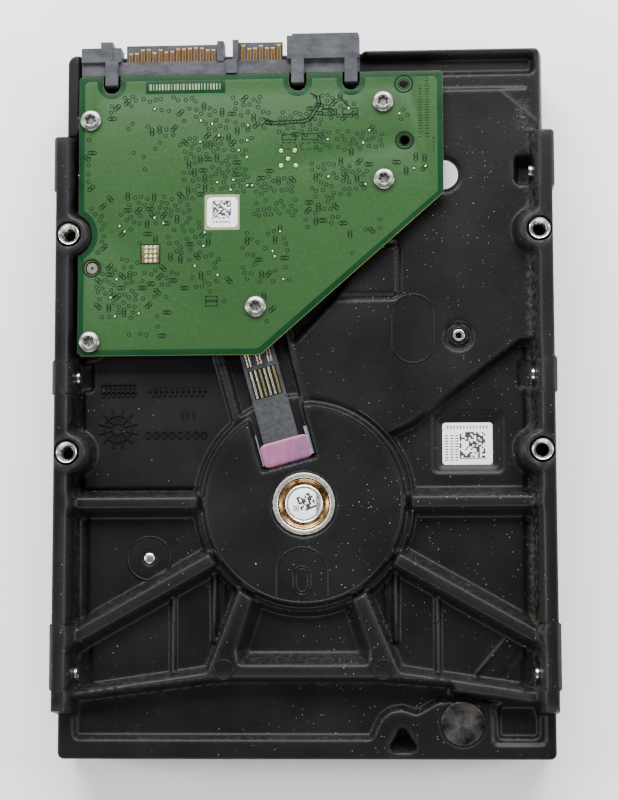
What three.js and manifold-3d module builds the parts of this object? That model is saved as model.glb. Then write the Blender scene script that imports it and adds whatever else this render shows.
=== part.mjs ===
// A 3.5 inch hard disk drive, lying on its cover with the circuit board side up.
// X runs across the drive, +Y points to the connector end, and +Z is up.
// The origin is on the resting surface, under the middle of the outline.
import * as THREE from 'three';
import { mergeVertices } from 'three/addons/utils/BufferGeometryUtils.js';
import Module from 'manifold-3d';

const wasm = await Module();
wasm.setup();

// ---- Driving sizes, in millimetres -------------------------------------------------
const LENGTH = 146.99;          // rear edge to the tip of the connector
const WIDTH = 101.6;            // over the side mounting pads
const HEIGHT = 20.2;            // cover face to the faces of the two rails
const PLATTER_DIAMETER = 95;
const PLATTER_HOLE = 25;
const PLATTER_THICKNESS = 1.27;
const BOARD_THICKNESS = 0.9;
const COVER_SHEET = 1.0;        // pressed cover plate
const THREAD_RADIUS = 1.4;      // mounting threads, at their crests
const BOARD_SCREW_RADIUS = 1.95;

// ---- Clearances ---------------------------------------------------------------------
const TOUCH = 0.05;             // between pieces that rest on each other
const FIT = 0.15;               // round a piece in its bore
const DISK_CLEARANCE = 0.7;     // platter edge to the wall round it
const REAR_WALL = 2.6;
const PAD_STEP = 0.5;           // how far the side pads stand out

// ---- Datums across and along --------------------------------------------------------
const LEFT = -WIDTH / 2;
const RIGHT = WIDTH / 2;
const FRONT = LENGTH / 2;
const REAR = -LENGTH / 2;
const BODY_X = RIGHT - PAD_STEP;
const PLATTER_R = PLATTER_DIAMETER / 2;
const SPIN_X = 0;
const SPIN_Y = REAR + REAR_WALL + DISK_CLEARANCE + PLATTER_R;
const REACH = PLATTER_R / 47.5;            // head arm sizes follow the platter
const ROOM_Y = SPIN_Y + 36.7 * REACH;      // where the arm's room opens off the platter's
const HUB_R = PLATTER_HOLE / 2 + 2.8;      // seat of the platter on the motor hub
const WELL_R = HUB_R + 0.9;
const PIVOT_X = SPIN_X - 20 * REACH;
const PIVOT_Y = SPIN_Y + 53.7 * REACH;
const HEAD_RADIUS = 49.5 * REACH;          // pivot to read head
const PARKED_DEG = -15;                    // arm direction on the ramp

// ---- Heights ------------------------------------------------------------------------
const Z_RAIL = HEIGHT;
const Z_BOARD_TOP = HEIGHT - 1.6;
const Z_BOARD = Z_BOARD_TOP - BOARD_THICKNESS;
const Z_BOARD_SEAT = Z_BOARD - 0.3;
const Z_RIB = HEIGHT - 3.0;
const Z_DECK = HEIGHT - 4.2;               // raised deck at the right of the board
const Z_LOW_DECK = HEIGHT - 5.6;           // under the board and left of the motor
const Z_PANEL = HEIGHT - 6.8;              // floor between the rear ribs
const Z_SUNK = HEIGHT - 7.7;               // sunk panels at the rear edge
const Z_SIDE_HOLE = HEIGHT - 6.35;
const Z_CAVITY_TOP = Z_SUNK - 0.3 - 1.6;   // over the disk
const Z_COIL_ROOM = Z_SUNK - 0.3;          // over the voice coil
const Z_WELL_TOP = Z_RIB - 3.0;            // inside the motor well
const Z_FLANGE = COVER_SHEET;              // cover's pressed-down border
const Z_RIM = Z_FLANGE + 0.8 + 0.4;        // casting rim
const Z_PLATTER = 5.9;
const Z_DISK_MID = Z_PLATTER + PLATTER_THICKNESS / 2;

// ---- Solid helpers ------------------------------------------------------------------
function tidy(geometry) {
  const bare = new THREE.BufferGeometry();
  bare.setAttribute('position', geometry.getAttribute('position'));
  if (geometry.index) bare.setIndex(geometry.index);
  const merged = mergeVertices(bare, 1e-4);
  const p = merged.getAttribute('position');
  const index = merged.index.array;
  const keep = [];
  let volume = 0;
  const a = new THREE.Vector3();
  const b = new THREE.Vector3();
  const c = new THREE.Vector3();
  for (let i = 0; i < index.length; i += 3) {
    const [i0, i1, i2] = [index[i], index[i + 1], index[i + 2]];
    if (i0 === i1 || i1 === i2 || i2 === i0) continue;
    a.fromBufferAttribute(p, i0);
    b.fromBufferAttribute(p, i1);
    c.fromBufferAttribute(p, i2);
    volume += a.dot(b.cross(c));
    keep.push(i0, i1, i2);
  }
  if (volume < 0) keep.reverse();
  merged.setIndex(keep);
  return merged;
}

function solid(geometry) {
  const g = tidy(geometry);
  return new wasm.Manifold(new wasm.Mesh({
    numProp: 3,
    vertProperties: Float32Array.from(g.getAttribute('position').array),
    triVerts: Uint32Array.from(g.index.array),
  }));
}

function geometryOf(body) {
  const mesh = body.getMesh();
  const g = new THREE.BufferGeometry();
  g.setAttribute('position', new THREE.BufferAttribute(Float32Array.from(mesh.vertProperties), 3));
  g.setIndex(Array.from(mesh.triVerts));
  g.computeVertexNormals();
  return g;
}

const radians = (degrees) => degrees * Math.PI / 180;

function prism(points, z0, z1, holes = []) {
  const shape = new THREE.Shape(points.map(([x, y]) => new THREE.Vector2(x, y)));
  for (const hole of holes) {
    shape.holes.push(new THREE.Path(hole.map(([x, y]) => new THREE.Vector2(x, y))));
  }
  const g = new THREE.ExtrudeGeometry(shape, { depth: z1 - z0, bevelEnabled: false });
  return solid(g.translate(0, 0, z0));
}

function ring(x, y, r, count = 24, turn = 0) {
  const points = [];
  for (let i = 0; i < count; i += 1) {
    const t = radians(turn) + 2 * Math.PI * i / count;
    points.push([x + r * Math.cos(t), y + r * Math.sin(t)]);
  }
  return points;
}

function arc(x, y, r, from, to, count) {
  const points = [];
  for (let i = 0; i <= count; i += 1) {
    const t = radians(from + (to - from) * i / count);
    points.push([x + r * Math.cos(t), y + r * Math.sin(t)]);
  }
  return points;
}

const disc = (x, y, r, z0, z1, count = 24) => prism(ring(x, y, r, count), z0, z1);

function block(x0, x1, y0, y1, z0, z1) {
  const g = new THREE.BoxGeometry(x1 - x0, y1 - y0, z1 - z0);
  return solid(g.translate((x0 + x1) / 2, (y0 + y1) / 2, (z0 + z1) / 2));
}

// A straight bar of given width between two points, seen from above.
function bar(x0, y0, x1, y1, width, z0, z1) {
  const length = Math.hypot(x1 - x0, y1 - y0);
  const nx = -(y1 - y0) / length * width / 2;
  const ny = (x1 - x0) / length * width / 2;
  return prism([[x0 + nx, y0 + ny], [x0 - nx, y0 - ny], [x1 - nx, y1 - ny], [x1 + nx, y1 + ny]], z0, z1);
}

// A turned body: the profile lists radius and height, and is closed on itself.
function turned(profile, x, y, count = 32) {
  const points = [...profile, profile[0]].map(([r, z]) => new THREE.Vector2(r, z));
  const g = new THREE.LatheGeometry(points, count);
  return solid(g.rotateX(Math.PI / 2).translate(x, y, 0));
}

// A drum lying along X, for the side threads.
function crossDrum(x0, x1, y, z, r, count = 16) {
  const g = new THREE.CylinderGeometry(r, r, Math.abs(x1 - x0), count);
  return solid(g.rotateZ(Math.PI / 2).translate((x0 + x1) / 2, y, z));
}

// A wall block whose plan shrinks evenly from its bottom to its top.
function frustum(lower, upper, z0, z1) {
  const n = lower.length;
  const positions = [];
  for (const [x, y] of lower) positions.push(x, y, z0);
  for (const [x, y] of upper) positions.push(x, y, z1);
  const index = [];
  const flat = lower.map(([x, y]) => new THREE.Vector2(x, y));
  for (const [i, j, k] of THREE.ShapeUtils.triangulateShape(flat, [])) {
    index.push(i, k, j);
    index.push(n + i, n + j, n + k);
  }
  for (let i = 0; i < n; i += 1) {
    const j = (i + 1) % n;
    index.push(i, j, n + j);
    index.push(i, n + j, n + i);
  }
  const g = new THREE.BufferGeometry();
  g.setAttribute('position', new THREE.BufferAttribute(new Float32Array(positions), 3));
  g.setIndex(index);
  return solid(g);
}

const union = (bodies) => bodies.reduce((sum, body) => sum.add(body));
const cut = (body, tools) => tools.reduce((left, tool) => left.subtract(tool), body);

const drive = new THREE.Group();
drive.name = 'hard_disk_drive';

function piece(name, body, colour, roughness, metalness) {
  const material = new THREE.MeshStandardMaterial({ color: colour, roughness, metalness });
  const mesh = new THREE.Mesh(geometryOf(body), material);
  mesh.name = name;
  drive.add(mesh);
}

// ---- Shared places --------------------------------------------------------------------
const SIDE_HOLES_Y = [FRONT - 28.5, FRONT - 70.1, FRONT - 130.1];
const BOTTOM_HOLES_Y = [FRONT - 41.28, FRONT - 85.73];
const BOTTOM_HOLE_X = RIGHT - 3.18;
const BOARD_SCREWS = [
  [LEFT + 7.4, FRONT - 17.6], [LEFT + 67.2, FRONT - 14.6], [LEFT + 67.3, FRONT - 30.6],
  [LEFT + 41.2, FRONT - 56.4], [LEFT + 7.4, FRONT - 63.3],
];
const COVER_SCREWS = [
  [LEFT + 5.8, FRONT - 7.0], [RIGHT - 5.8, FRONT - 7.0], [LEFT + 4.2, ROOM_Y],
  [RIGHT - 4.2, ROOM_Y], [LEFT + 5.4, REAR + 4.0], [RIGHT - 5.4, REAR + 4.0],
];
const RAIL_FRONT = FRONT - 20.5;
const RAIL_REAR = REAR + 9.1;
const RAIL_INNER = BODY_X - 2.5;
const RAIL_FOOT = BODY_X - 4.6;
const DISC_RADIUS = 20.2;
const RAMP = { x: PIVOT_X + 51.3 * REACH, y: PIVOT_Y - 19.9 * REACH };
const SERVICE_PIN = { x: SPIN_X - 31.6, y: SPIN_Y - 10.7 };
const FOIL = { x: SPIN_X + 31.4, y: REAR + 7.1, r: 4.2 };
const TAG = { x: SPIN_X + 32.9, y: SPIN_Y + 12.2, wide: 10.2, tall: 8.6 };

// The flexible strip runs from the motor at a lean towards the board's rear edge.
const STRIP_LEAN = radians(15.3);
const STRIP_END_Y = FRONT - 66.1 + 3.0;
const stripPoint = (along, side) => [
  SPIN_X - 3.55 + side * Math.cos(STRIP_LEAN) - along * Math.sin(STRIP_LEAN),
  SPIN_Y + 8.1 + side * Math.sin(STRIP_LEAN) + along * Math.cos(STRIP_LEAN),
];
const STRIP_LENGTH = (STRIP_END_Y - SPIN_Y - 8.1) / Math.cos(STRIP_LEAN);
const stripBand = (from, to, left, right) => [
  stripPoint(from, left), stripPoint(from, right), stripPoint(to, right), stripPoint(to, left),
];

// ---- Base casting -----------------------------------------------------------------------
function bodyOutline(inset = 0) {
  const x = BODY_X - inset;
  const rear = BODY_X - 0.4 - inset;
  const front = RIGHT - 2.05 - inset;
  const y1 = FRONT - 3.1 - inset;
  const y0 = REAR + inset;
  const rearStep = RAIL_REAR + inset;
  const frontStep = RAIL_FRONT - inset;
  return [
    ...arc(-rear + 1.3, y0 + 1.3, 1.3, 180, 270, 4), ...arc(rear - 1.3, y0 + 1.3, 1.3, 270, 360, 4),
    [rear, rearStep], [x, rearStep], [x, frontStep], [front, frontStep],
    ...arc(front - 1.8, y1 - 1.8, 1.8, 0, 90, 5), ...arc(-front + 1.8, y1 - 1.8, 1.8, 90, 180, 5),
    [-front, frontStep], [-x, frontStep], [-x, rearStep], [-rear, rearStep],
  ];
}

function rail(side) {
  const [y0, y1] = [RAIL_REAR, RAIL_FRONT];
  const lower = [[side * BODY_X, y0], [side * BODY_X, y1], [side * RAIL_FOOT, y1], [side * RAIL_FOOT, y0]];
  const upper = [[side * BODY_X, y0], [side * BODY_X, y1 - 0.4], [side * RAIL_INNER, y1 - 0.4],
    [side * RAIL_INNER, y0]];
  const order = side > 0 ? (p) => p : (p) => [...p].reverse();
  return frustum(order(lower), order(upper), Z_PANEL - 0.5, Z_RAIL);
}

function sidePads() {
  const spans = [[SIDE_HOLES_Y[0] - 3.9, RAIL_FRONT], [SIDE_HOLES_Y[1] - 3.9, SIDE_HOLES_Y[1] + 3.0],
    [SIDE_HOLES_Y[2] - 3.1, SIDE_HOLES_Y[2] + 10.1]];
  const pads = [];
  for (const side of [-1, 1]) {
    for (const [y0, y1] of spans) {
      const inner = side * (BODY_X - 1);
      const outer = side * RIGHT;
      pads.push(block(Math.min(inner, outer), Math.max(inner, outer), y0, y1, Z_SUNK - 2, Z_RAIL - 0.6));
    }
  }
  return union(pads);
}

function ribs() {
  const x = RAIL_FOOT + 1.2;
  const list = [];
  for (const s of [-1, 1]) {
    const sx = (value) => SPIN_X + s * value;
    const wall = s * x;
    list.push(bar(wall, SPIN_Y + 0.4, sx(DISC_RADIUS + 0.5), SPIN_Y + 0.4, 1.9, Z_PANEL - 1, Z_RIB));
    list.push(bar(wall, SPIN_Y - 26.9, sx(17.4), SPIN_Y - 10.4, 2.3, Z_PANEL - 1, Z_RIB));
    list.push(bar(wall, REAR + 12.3, sx(17.4), REAR + 16.6, 2.0, Z_PANEL - 1, Z_RIB));
    list.push(bar(sx(18.2), SPIN_Y - 14, sx(18.2), SPIN_Y - 29.2, 1.6, Z_PANEL - 1, Z_PANEL + 1.8));
    list.push(bar(sx(26.7), SPIN_Y - 18.5, sx(26.7), SPIN_Y - 33.4, 1.2, Z_PANEL - 1, Z_PANEL + 1.8));
  }
  return union(list);
}

// The raised block behind the motor, with its sloped-wall pocket.
function rearBlock() {
  const [x, y] = [SPIN_X, SPIN_Y];
  const outline = [[x - 12.6, y - 17.4], [x - 19.8, y - 33.2], [x - 19.2, y - 35.2], [x + 18.4, y - 35.2],
    [x + 19.4, y - 33.2], [x + 11.6, y - 17.4]];
  const pocketTop = [[x - 9.6, y - 20.6], [x - 14.6, y - 29.8], [x - 14.4, y - 31.8], [x - 12.9, y - 32.7],
    [x + 11.9, y - 32.7], [x + 13.8, y - 31.4], [x + 14.0, y - 29.8], [x + 8.6, y - 20.6]];
  const pocketFloor = [[x - 8.0, y - 21.6], [x - 12.1, y - 28.6], [x - 12.2, y - 29.0], [x - 11.9, y - 29.5],
    [x + 11.0, y - 29.5], [x + 11.6, y - 29.2], [x + 11.6, y - 28.6], [x + 7.1, y - 21.6]];
  const body = prism(outline, Z_PANEL - 1, Z_RIB);
  const marks = [disc(x - 16.1, y - 32.9, 1.9, Z_RIB - 0.2, Z_RIB + 1, 20),
    disc(x + 15.8, y - 32.9, 1.9, Z_RIB - 0.2, Z_RIB + 1, 20)];
  return cut(body, [frustum(pocketFloor, pocketTop, Z_PANEL, Z_RIB + 0.01), ...marks]);
}

// The higher deck at the right of the board, bounded by a long slanting step.
function deck() {
  const outline = [
    [SPIN_X + 17.0, SPIN_Y + 12.6], [SPIN_X + 23.2, SPIN_Y + 17.4], [RAIL_FOOT - 1.4, SPIN_Y + 33.2],
    [RAIL_FOOT + 1, SPIN_Y + 33.2], [RAIL_FOOT + 1, RAIL_FRONT], [RIGHT - 2.05 - 0.9, RAIL_FRONT + 1],
    [RIGHT - 2.05 - 0.9, FRONT - 5], [LEFT + 63, FRONT - 5], [LEFT + 72.4, FRONT - 30.6],
    [SPIN_X + 6.5, SPIN_Y + 42], [SPIN_X - 2.4, SPIN_Y + 32.4], [SPIN_X + 0.6, SPIN_Y + 20],
  ];
  return prism(outline, Z_LOW_DECK - 2, Z_DECK);
}

function frontWall() {
  const rim = bodyOutline(0);
  const inner = bodyOutline(1.1);
  return prism(rim, Z_LOW_DECK - 2, Z_DECK, [inner]).intersect(
    block(LEFT + 63, RIGHT, RAIL_FRONT, FRONT, Z_LOW_DECK - 3, Z_DECK + 1));
}

function motorRound() {
  const [x, y] = [SPIN_X, SPIN_Y];
  const body = turned([[0, Z_WELL_TOP - 1], [22.3, Z_WELL_TOP - 1], [22.3, Z_DECK - 0.4], [21.9, Z_DECK],
    [20.9, Z_DECK], [20.3, Z_RIB - 0.5], [19.7, Z_RIB], [0, Z_RIB]], x, y, 60);
  const arch = [...arc(x - 0.4, y - 13.8, 5.4, 180, 0, 12), [x + 5.0, y - 19.0], [x + 4.5, y - 19.0],
    ...arc(x - 0.4, y - 13.8, 4.9, 0, 180, 12), [x - 5.3, y - 19.0], [x - 5.8, y - 19.0]];
  const slot = [...arc(x - 0.4, y - 14.2, 1.75, 0, 180, 8), ...arc(x - 0.4, y - 16.4, 1.75, 180, 360, 8)];
  const slotInner = [...arc(x - 0.4, y - 14.2, 1.3, 0, 180, 8), ...arc(x - 0.4, y - 16.4, 1.3, 180, 360, 8)];
  return cut(body, [
    prism(arch, Z_RIB - 0.25, Z_RIB + 1), prism(slot, Z_RIB - 0.3, Z_RIB + 1, [slotInner]),
    prism(stripBand(-0.4, 30, -5.0, 6.2), Z_RIB - 1.7, Z_RIB + 1),
  ]);
}

function bosses() {
  const list = [];
  for (const side of [-1, 1]) {
    for (const y of BOTTOM_HOLES_Y) {
      list.push(disc(side * (BOTTOM_HOLE_X - 0.3), y, 3.35, Z_PANEL - 1, Z_RAIL, 24));
    }
  }
  for (const [x, y] of BOARD_SCREWS) list.push(disc(x, y, 3.0, Z_PANEL, Z_BOARD_SEAT, 20));
  list.push(disc(SERVICE_PIN.x, SERVICE_PIN.y, 4.35, Z_PANEL - 1, Z_PANEL + 0.9, 28));
  list.push(disc(RAMP.x, RAMP.y, 2.2, Z_LOW_DECK, Z_DECK + 0.6, 20));
  const ridgeTop = Z_LOW_DECK + 1.3;
  list.push(prism(stripBand(11.2, STRIP_LENGTH + 0.4, -8.2, -6.5), Z_LOW_DECK - 1, ridgeTop));
  list.push(prism(stripBand(11.2, STRIP_LENGTH + 0.4, 6.5, 7.6), Z_LOW_DECK - 1, ridgeTop));
  return union(list);
}

function castingCavity() {
  const fromX = LEFT + 5.8;
  const toX = RIGHT - 7.6;
  const front = FRONT - 9.5;
  const y0 = ROOM_Y;
  const disk = disc(SPIN_X, SPIN_Y, PLATTER_R + DISK_CLEARANCE, Z_RIM - 1, Z_CAVITY_TOP, 60);
  const room = prism([[fromX, y0 + 5 * REACH], [SPIN_X - 36 * REACH, y0 + 5 * REACH], [SPIN_X - 30 * REACH, y0 - 3],
    [SPIN_X + 34 * REACH, y0 - 6], [toX, y0 + 4], [toX, front - 5], [toX - 5, front], [fromX + 6, front],
    [fromX, front - 6]], Z_RIM - 1, Z_COIL_ROOM);
  const well = disc(SPIN_X, SPIN_Y, WELL_R, Z_RIM, Z_WELL_TOP, 40);
  return union([disk, room, well]);
}

function castingCuts() {
  const [x, y] = [SPIN_X, SPIN_Y];
  const list = [];
  const top = Z_RAIL + 1;
  for (const side of [-1, 1]) {
    for (const holeY of BOTTOM_HOLES_Y) {
      list.push(turned([[0, Z_SUNK + 1.5], [THREAD_RADIUS, Z_SUNK + 1.5], [THREAD_RADIUS, Z_RAIL - 0.35],
        [THREAD_RADIUS + 0.4, Z_RAIL + 0.05], [0, Z_RAIL + 0.05]], side * BOTTOM_HOLE_X, holeY, 16));
    }
    for (const holeY of SIDE_HOLES_Y) {
      list.push(crossDrum(side * (RIGHT + 0.5), side * (RIGHT - 5.6), holeY, Z_SIDE_HOLE, THREAD_RADIUS, 12));
      const [xa, xb] = side > 0 ? [RIGHT - 7.4, RIGHT - 4.8] : [LEFT + 4.8, LEFT + 7.4];
      list.push(block(xa, xb, holeY - 2.7, holeY + 2.7, Z_SUNK + 0.3, Z_RAIL - 2.6));
    }
  }
  for (const [sx, sy] of BOARD_SCREWS) list.push(disc(sx, sy, 1.25, Z_COIL_ROOM + 0.9, top, 16));
  for (const [sx, sy] of COVER_SCREWS) list.push(disc(sx, sy, 1.15, Z_RIM - 1, Z_RIM + 5.2, 14));
  // Bores for the ramp screw, the service pin, the arm's pivot and the bearing sleeve.
  list.push(disc(RAMP.x, RAMP.y, 0.75, Z_CAVITY_TOP - 1, top, 16));
  list.push(disc(SERVICE_PIN.x, SERVICE_PIN.y, 1.3, Z_PANEL - 0.6, top, 18));
  list.push(disc(x, y, 5.3, Z_WELL_TOP - 6, top, 32));
  list.push(disc(x, y, 6.4, Z_RIB - 0.7, top, 32));
  // Slot for the head connector, and the sunk features of the two decks.
  list.push(block(LEFT + 53.8, LEFT + 66.2, FRONT - 24.9, FRONT - 20.1, Z_COIL_ROOM - 1, top));
  list.push(block(x + 8.2, x + 19.6, y + 41.3, y + 51.4, Z_DECK - 0.6, top).subtract(
    block(x + 9.4, x + 18.5, y + 42.6, y + 51.4, Z_DECK - 2, top + 1)));
  list.push(prism([...arc(x + 22.1, y + 38.2, 4.6, 0, 180, 10), ...arc(x + 22.1, y + 32.6, 4.6, 180, 360, 10)],
    Z_DECK - 0.35, top,
    [[...arc(x + 22.1, y + 38.2, 4.1, 0, 180, 10), ...arc(x + 22.1, y + 32.6, 4.1, 180, 360, 10)]]));
  list.push(prism(ring(LEFT + 79.3, FRONT - 29.4, 3.6, 28), Z_DECK - 0.5, top,
    [ring(LEFT + 79.3, FRONT - 29.4, 3.1, 28)]));
  list.push(prism(ring(RAMP.x, RAMP.y, 3.0, 24), Z_DECK - 0.5, top, [ring(RAMP.x, RAMP.y, 2.2, 20)]));
  list.push(block(LEFT + 62.2, RIGHT - 3.3, FRONT - 8.2, FRONT - 5.1, Z_LOW_DECK - 0.9, top));
  list.push(block(LEFT + 79.4, RIGHT - 5.4, FRONT - 11.3, FRONT - 8.1, Z_DECK - 0.8, top));
  // Room for the connector at the front edge.
  list.push(block(LEFT + 4.9, LEFT + 62.8, FRONT - 9.8, FRONT + 1, Z_LOW_DECK - 0.8, top));
  // Stepped recess of the square tag.
  list.push(block(TAG.x - 7.1, TAG.x + 7.1, TAG.y - 6.2, TAG.y + 6.2, Z_PANEL - 0.4, top));
  list.push(block(TAG.x - 5.3, TAG.x + 5.3, TAG.y - 4.5, TAG.y + 4.5, Z_PANEL - 0.8, top));
  // Rear edge: the sunk panel, the drain hole, the foil's groove and the corner pocket.
  list.push(prism([[-BODY_X + 4.2, REAR + 5.0], [x + 13.2, REAR + 5.0],
    ...arc(x + 19.1, REAR + 5.6, 5.8, 180, 60, 6), [x + 28.7, REAR + 11.6], [x + 17, REAR + 15.0],
    [x - 18, REAR + 15.0], [-BODY_X + 4.2, REAR + 11.0]], Z_SUNK, top));
  list.push(prism([[x + 16.6, REAR + 2.4], [x + 21.8, REAR + 2.4], [x + 22.2, REAR + 3.1],
    [x + 20.0, REAR + 8.7], [x + 18.8, REAR + 8.7], [x + 16.2, REAR + 3.1]], Z_CAVITY_TOP + 0.4, top));
  list.push(prism(ring(FOIL.x, FOIL.y, FOIL.r + 0.35, 28), Z_PANEL + 0.5, top,
    [ring(FOIL.x, FOIL.y, FOIL.r, 28)]));
  list.push(block(x + 37.2, RAIL_FOOT + 2, REAR + 3.2, REAR + 10.3, Z_PANEL + 0.3, top));
  list.push(block(x + 38.6, RAIL_FOOT + 0.6, REAR + 4.8, REAR + 10.0, Z_SUNK, top));
  return list;
}

function baseCasting() {
  const shell = prism(bodyOutline(), Z_RIM, Z_PANEL);
  const rearRim = prism(bodyOutline(), Z_PANEL - 1, Z_PANEL + 0.8).intersect(
    block(LEFT, RIGHT, REAR, REAR + 12, Z_PANEL - 2, Z_PANEL + 2));
  const lowDeck = prism([[-RAIL_FOOT - 1, SPIN_Y + 1], [SPIN_X + 2, SPIN_Y + 1], [SPIN_X + 2, SPIN_Y + 22],
    [LEFT + 72, FRONT - 40], [LEFT + 72, FRONT - 3.1], [LEFT + 3, FRONT - 3.1], [LEFT + 3, RAIL_FRONT],
    [-RAIL_FOOT - 1, RAIL_FRONT]], Z_PANEL - 1, Z_LOW_DECK);
  const outside = prism(bodyOutline(-3), 0, Z_RAIL + 2, [bodyOutline()]);
  const solidBody = union([shell, rearRim, lowDeck, deck(), frontWall(), rail(-1), rail(1), ribs(), rearBlock(),
    motorRound(), bosses()]);
  const trimmed = solidBody.subtract(outside).add(sidePads());
  const posts = [
    disc(SPIN_X, SPIN_Y, 7.0, Z_WELL_TOP - 3.6, Z_WELL_TOP + 0.1, 27),
    disc(...LATCH_POST, 0.75, 4.6, Z_COIL_ROOM + 0.1, 12),
  ];
  return cut(union([trimmed.subtract(castingCavity()), ...posts]), castingCuts());
}

// ---- Cover side -------------------------------------------------------------------------
const coverCentre = () => [
  [LEFT + 8.5, REAR + 14], [LEFT + 16, REAR + 7], [RIGHT - 16, REAR + 7], [RIGHT - 8.5, REAR + 14],
  [RIGHT - 8.5, FRONT - 16], [RIGHT - 12, FRONT - 11], [LEFT + 12, FRONT - 11], [LEFT + 8.5, FRONT - 16],
];
const grown = (points, by) => points.map(([x, y]) => [x + Math.sign(x) * by, y + Math.sign(y) * by]);

function topCover() {
  const outline = bodyOutline(0.25);
  const flange = prism(outline, Z_FLANGE, Z_FLANGE + 0.8);
  const raised = prism(coverCentre(), 0, Z_FLANGE + 0.8);
  const hollow = prism(grown(coverCentre(), -1), COVER_SHEET, Z_FLANGE + 2);
  const body = cut(flange.add(raised), [hollow]);
  const dimple = disc(PIVOT_X, PIVOT_Y, 4.4, 0.9, 1.9, 28);
  const cuts = [disc(PIVOT_X, PIVOT_Y, 3.2, -1, 0.95, 24), disc(PIVOT_X, PIVOT_Y, 1.35, -1, 3, 18)];
  for (const [x, y] of COVER_SCREWS) cuts.push(disc(x, y, 1.35, -1, 3, 16));
  cuts.push(prism(grown(coverCentre(), -4), -1, 0.12));
  return cut(body.add(dimple), cuts);
}

function coverLabel() {
  const outline = grown(coverCentre(), -4.2);
  return prism(outline, 0.01, 0.09, [ring(PIVOT_X, PIVOT_Y, 4.6, 24)]);
}

const gasket = () => prism(bodyOutline(1.0), Z_FLANGE + 0.85, Z_RIM - 0.05, [bodyOutline(2.2)]);

function screw(x, y, headRadius, headBottom, headTop, shankRadius, shankEnd, socketed = true) {
  const inward = Math.sign(shankEnd - headTop) || 1;
  const seat = inward > 0 ? headTop : headBottom;
  const face = inward > 0 ? headBottom : headTop;
  const head = turned([[0, seat], [headRadius, seat], [headRadius, face + inward * 0.25],
    [headRadius - 0.3, face], [0, face]], x, y, 14);
  const shank = disc(x, y, shankRadius, Math.min(seat, shankEnd) - 0.02, Math.max(seat, shankEnd) + 0.02, 8);
  const socket = prism(ring(x, y, headRadius * 0.42, 6), Math.min(face, face + inward * 0.5) - 0.01,
    Math.max(face, face + inward * 0.5) + 0.01);
  const body = head.add(shank);
  return socketed ? body.subtract(socket) : body;
}

// ---- Circuit board side --------------------------------------------------------------------
const BOARD_LEFT = LEFT + 4.95;
const BOARD_RIGHT = LEFT + 79.3;
const BOARD_FRONT = FRONT - 8.3;
const BOARD_REAR = FRONT - 66.1;
const SLOTS = [LEFT + 11.6, LEFT + 49.8, LEFT + 60.7];

function boardOutline(inset = 0) {
  const [l, r, f, b] = [BOARD_LEFT + inset, BOARD_RIGHT - inset, BOARD_FRONT - inset, BOARD_REAR + inset];
  const points = [[l, b + 0.6], [l + 0.6, b], [LEFT + 41.6, b], [LEFT + 42.3, b + 0.4], [r, FRONT - 33.4],
    [r, f - 0.5], [r - 0.5, f]];
  for (const x of [...SLOTS].reverse()) {
    const y = FRONT - 10.2;
    const half = 1.8 + inset;
    points.push([x + half, f], ...arc(x, y, half, 0, -180, 8), [x - half, f]);
  }
  points.push([l + 0.5, f], [l, f - 0.5]);
  points.push(...arc(-BOTTOM_HOLE_X, BOTTOM_HOLES_Y[0], 4.6 + inset, 68, -68, 10));
  return points;
}

function circuitBoard() {
  const holes = BOARD_SCREWS.map(([x, y]) => ring(x, y, 1.3, 16));
  holes.push(ring(LEFT + 71.4, FRONT - 10.9, 0.95, 16));
  holes.push(ring(LEFT + 71.5, FRONT - 22.6, 1.3, 16));
  holes.push(ring(LEFT + 7.8, FRONT - 48.1, 1.45, 16));
  return prism(boardOutline(), Z_BOARD, Z_BOARD_TOP, holes);
}

// A thin foam sheet under the board, open round the chips, screws and flexible strip.
function boardInsulator() {
  const outline = [[LEFT + 12, FRONT - 58.5], [LEFT + 34, FRONT - 58.5], [LEFT + 50, FRONT - 44],
    [LEFT + 52, FRONT - 40], [LEFT + 52, FRONT - 13.3], [LEFT + 12, FRONT - 13.3]];
  const open = [[LEFT + 18, FRONT - 22], [LEFT + 47.5, FRONT - 22], [LEFT + 47.5, FRONT - 42.5],
    [LEFT + 32, FRONT - 55.5], [LEFT + 18, FRONT - 55.5]];
  return prism(outline, Z_LOW_DECK + 0.1, Z_BOARD - 1.5, [open]);
}

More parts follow.
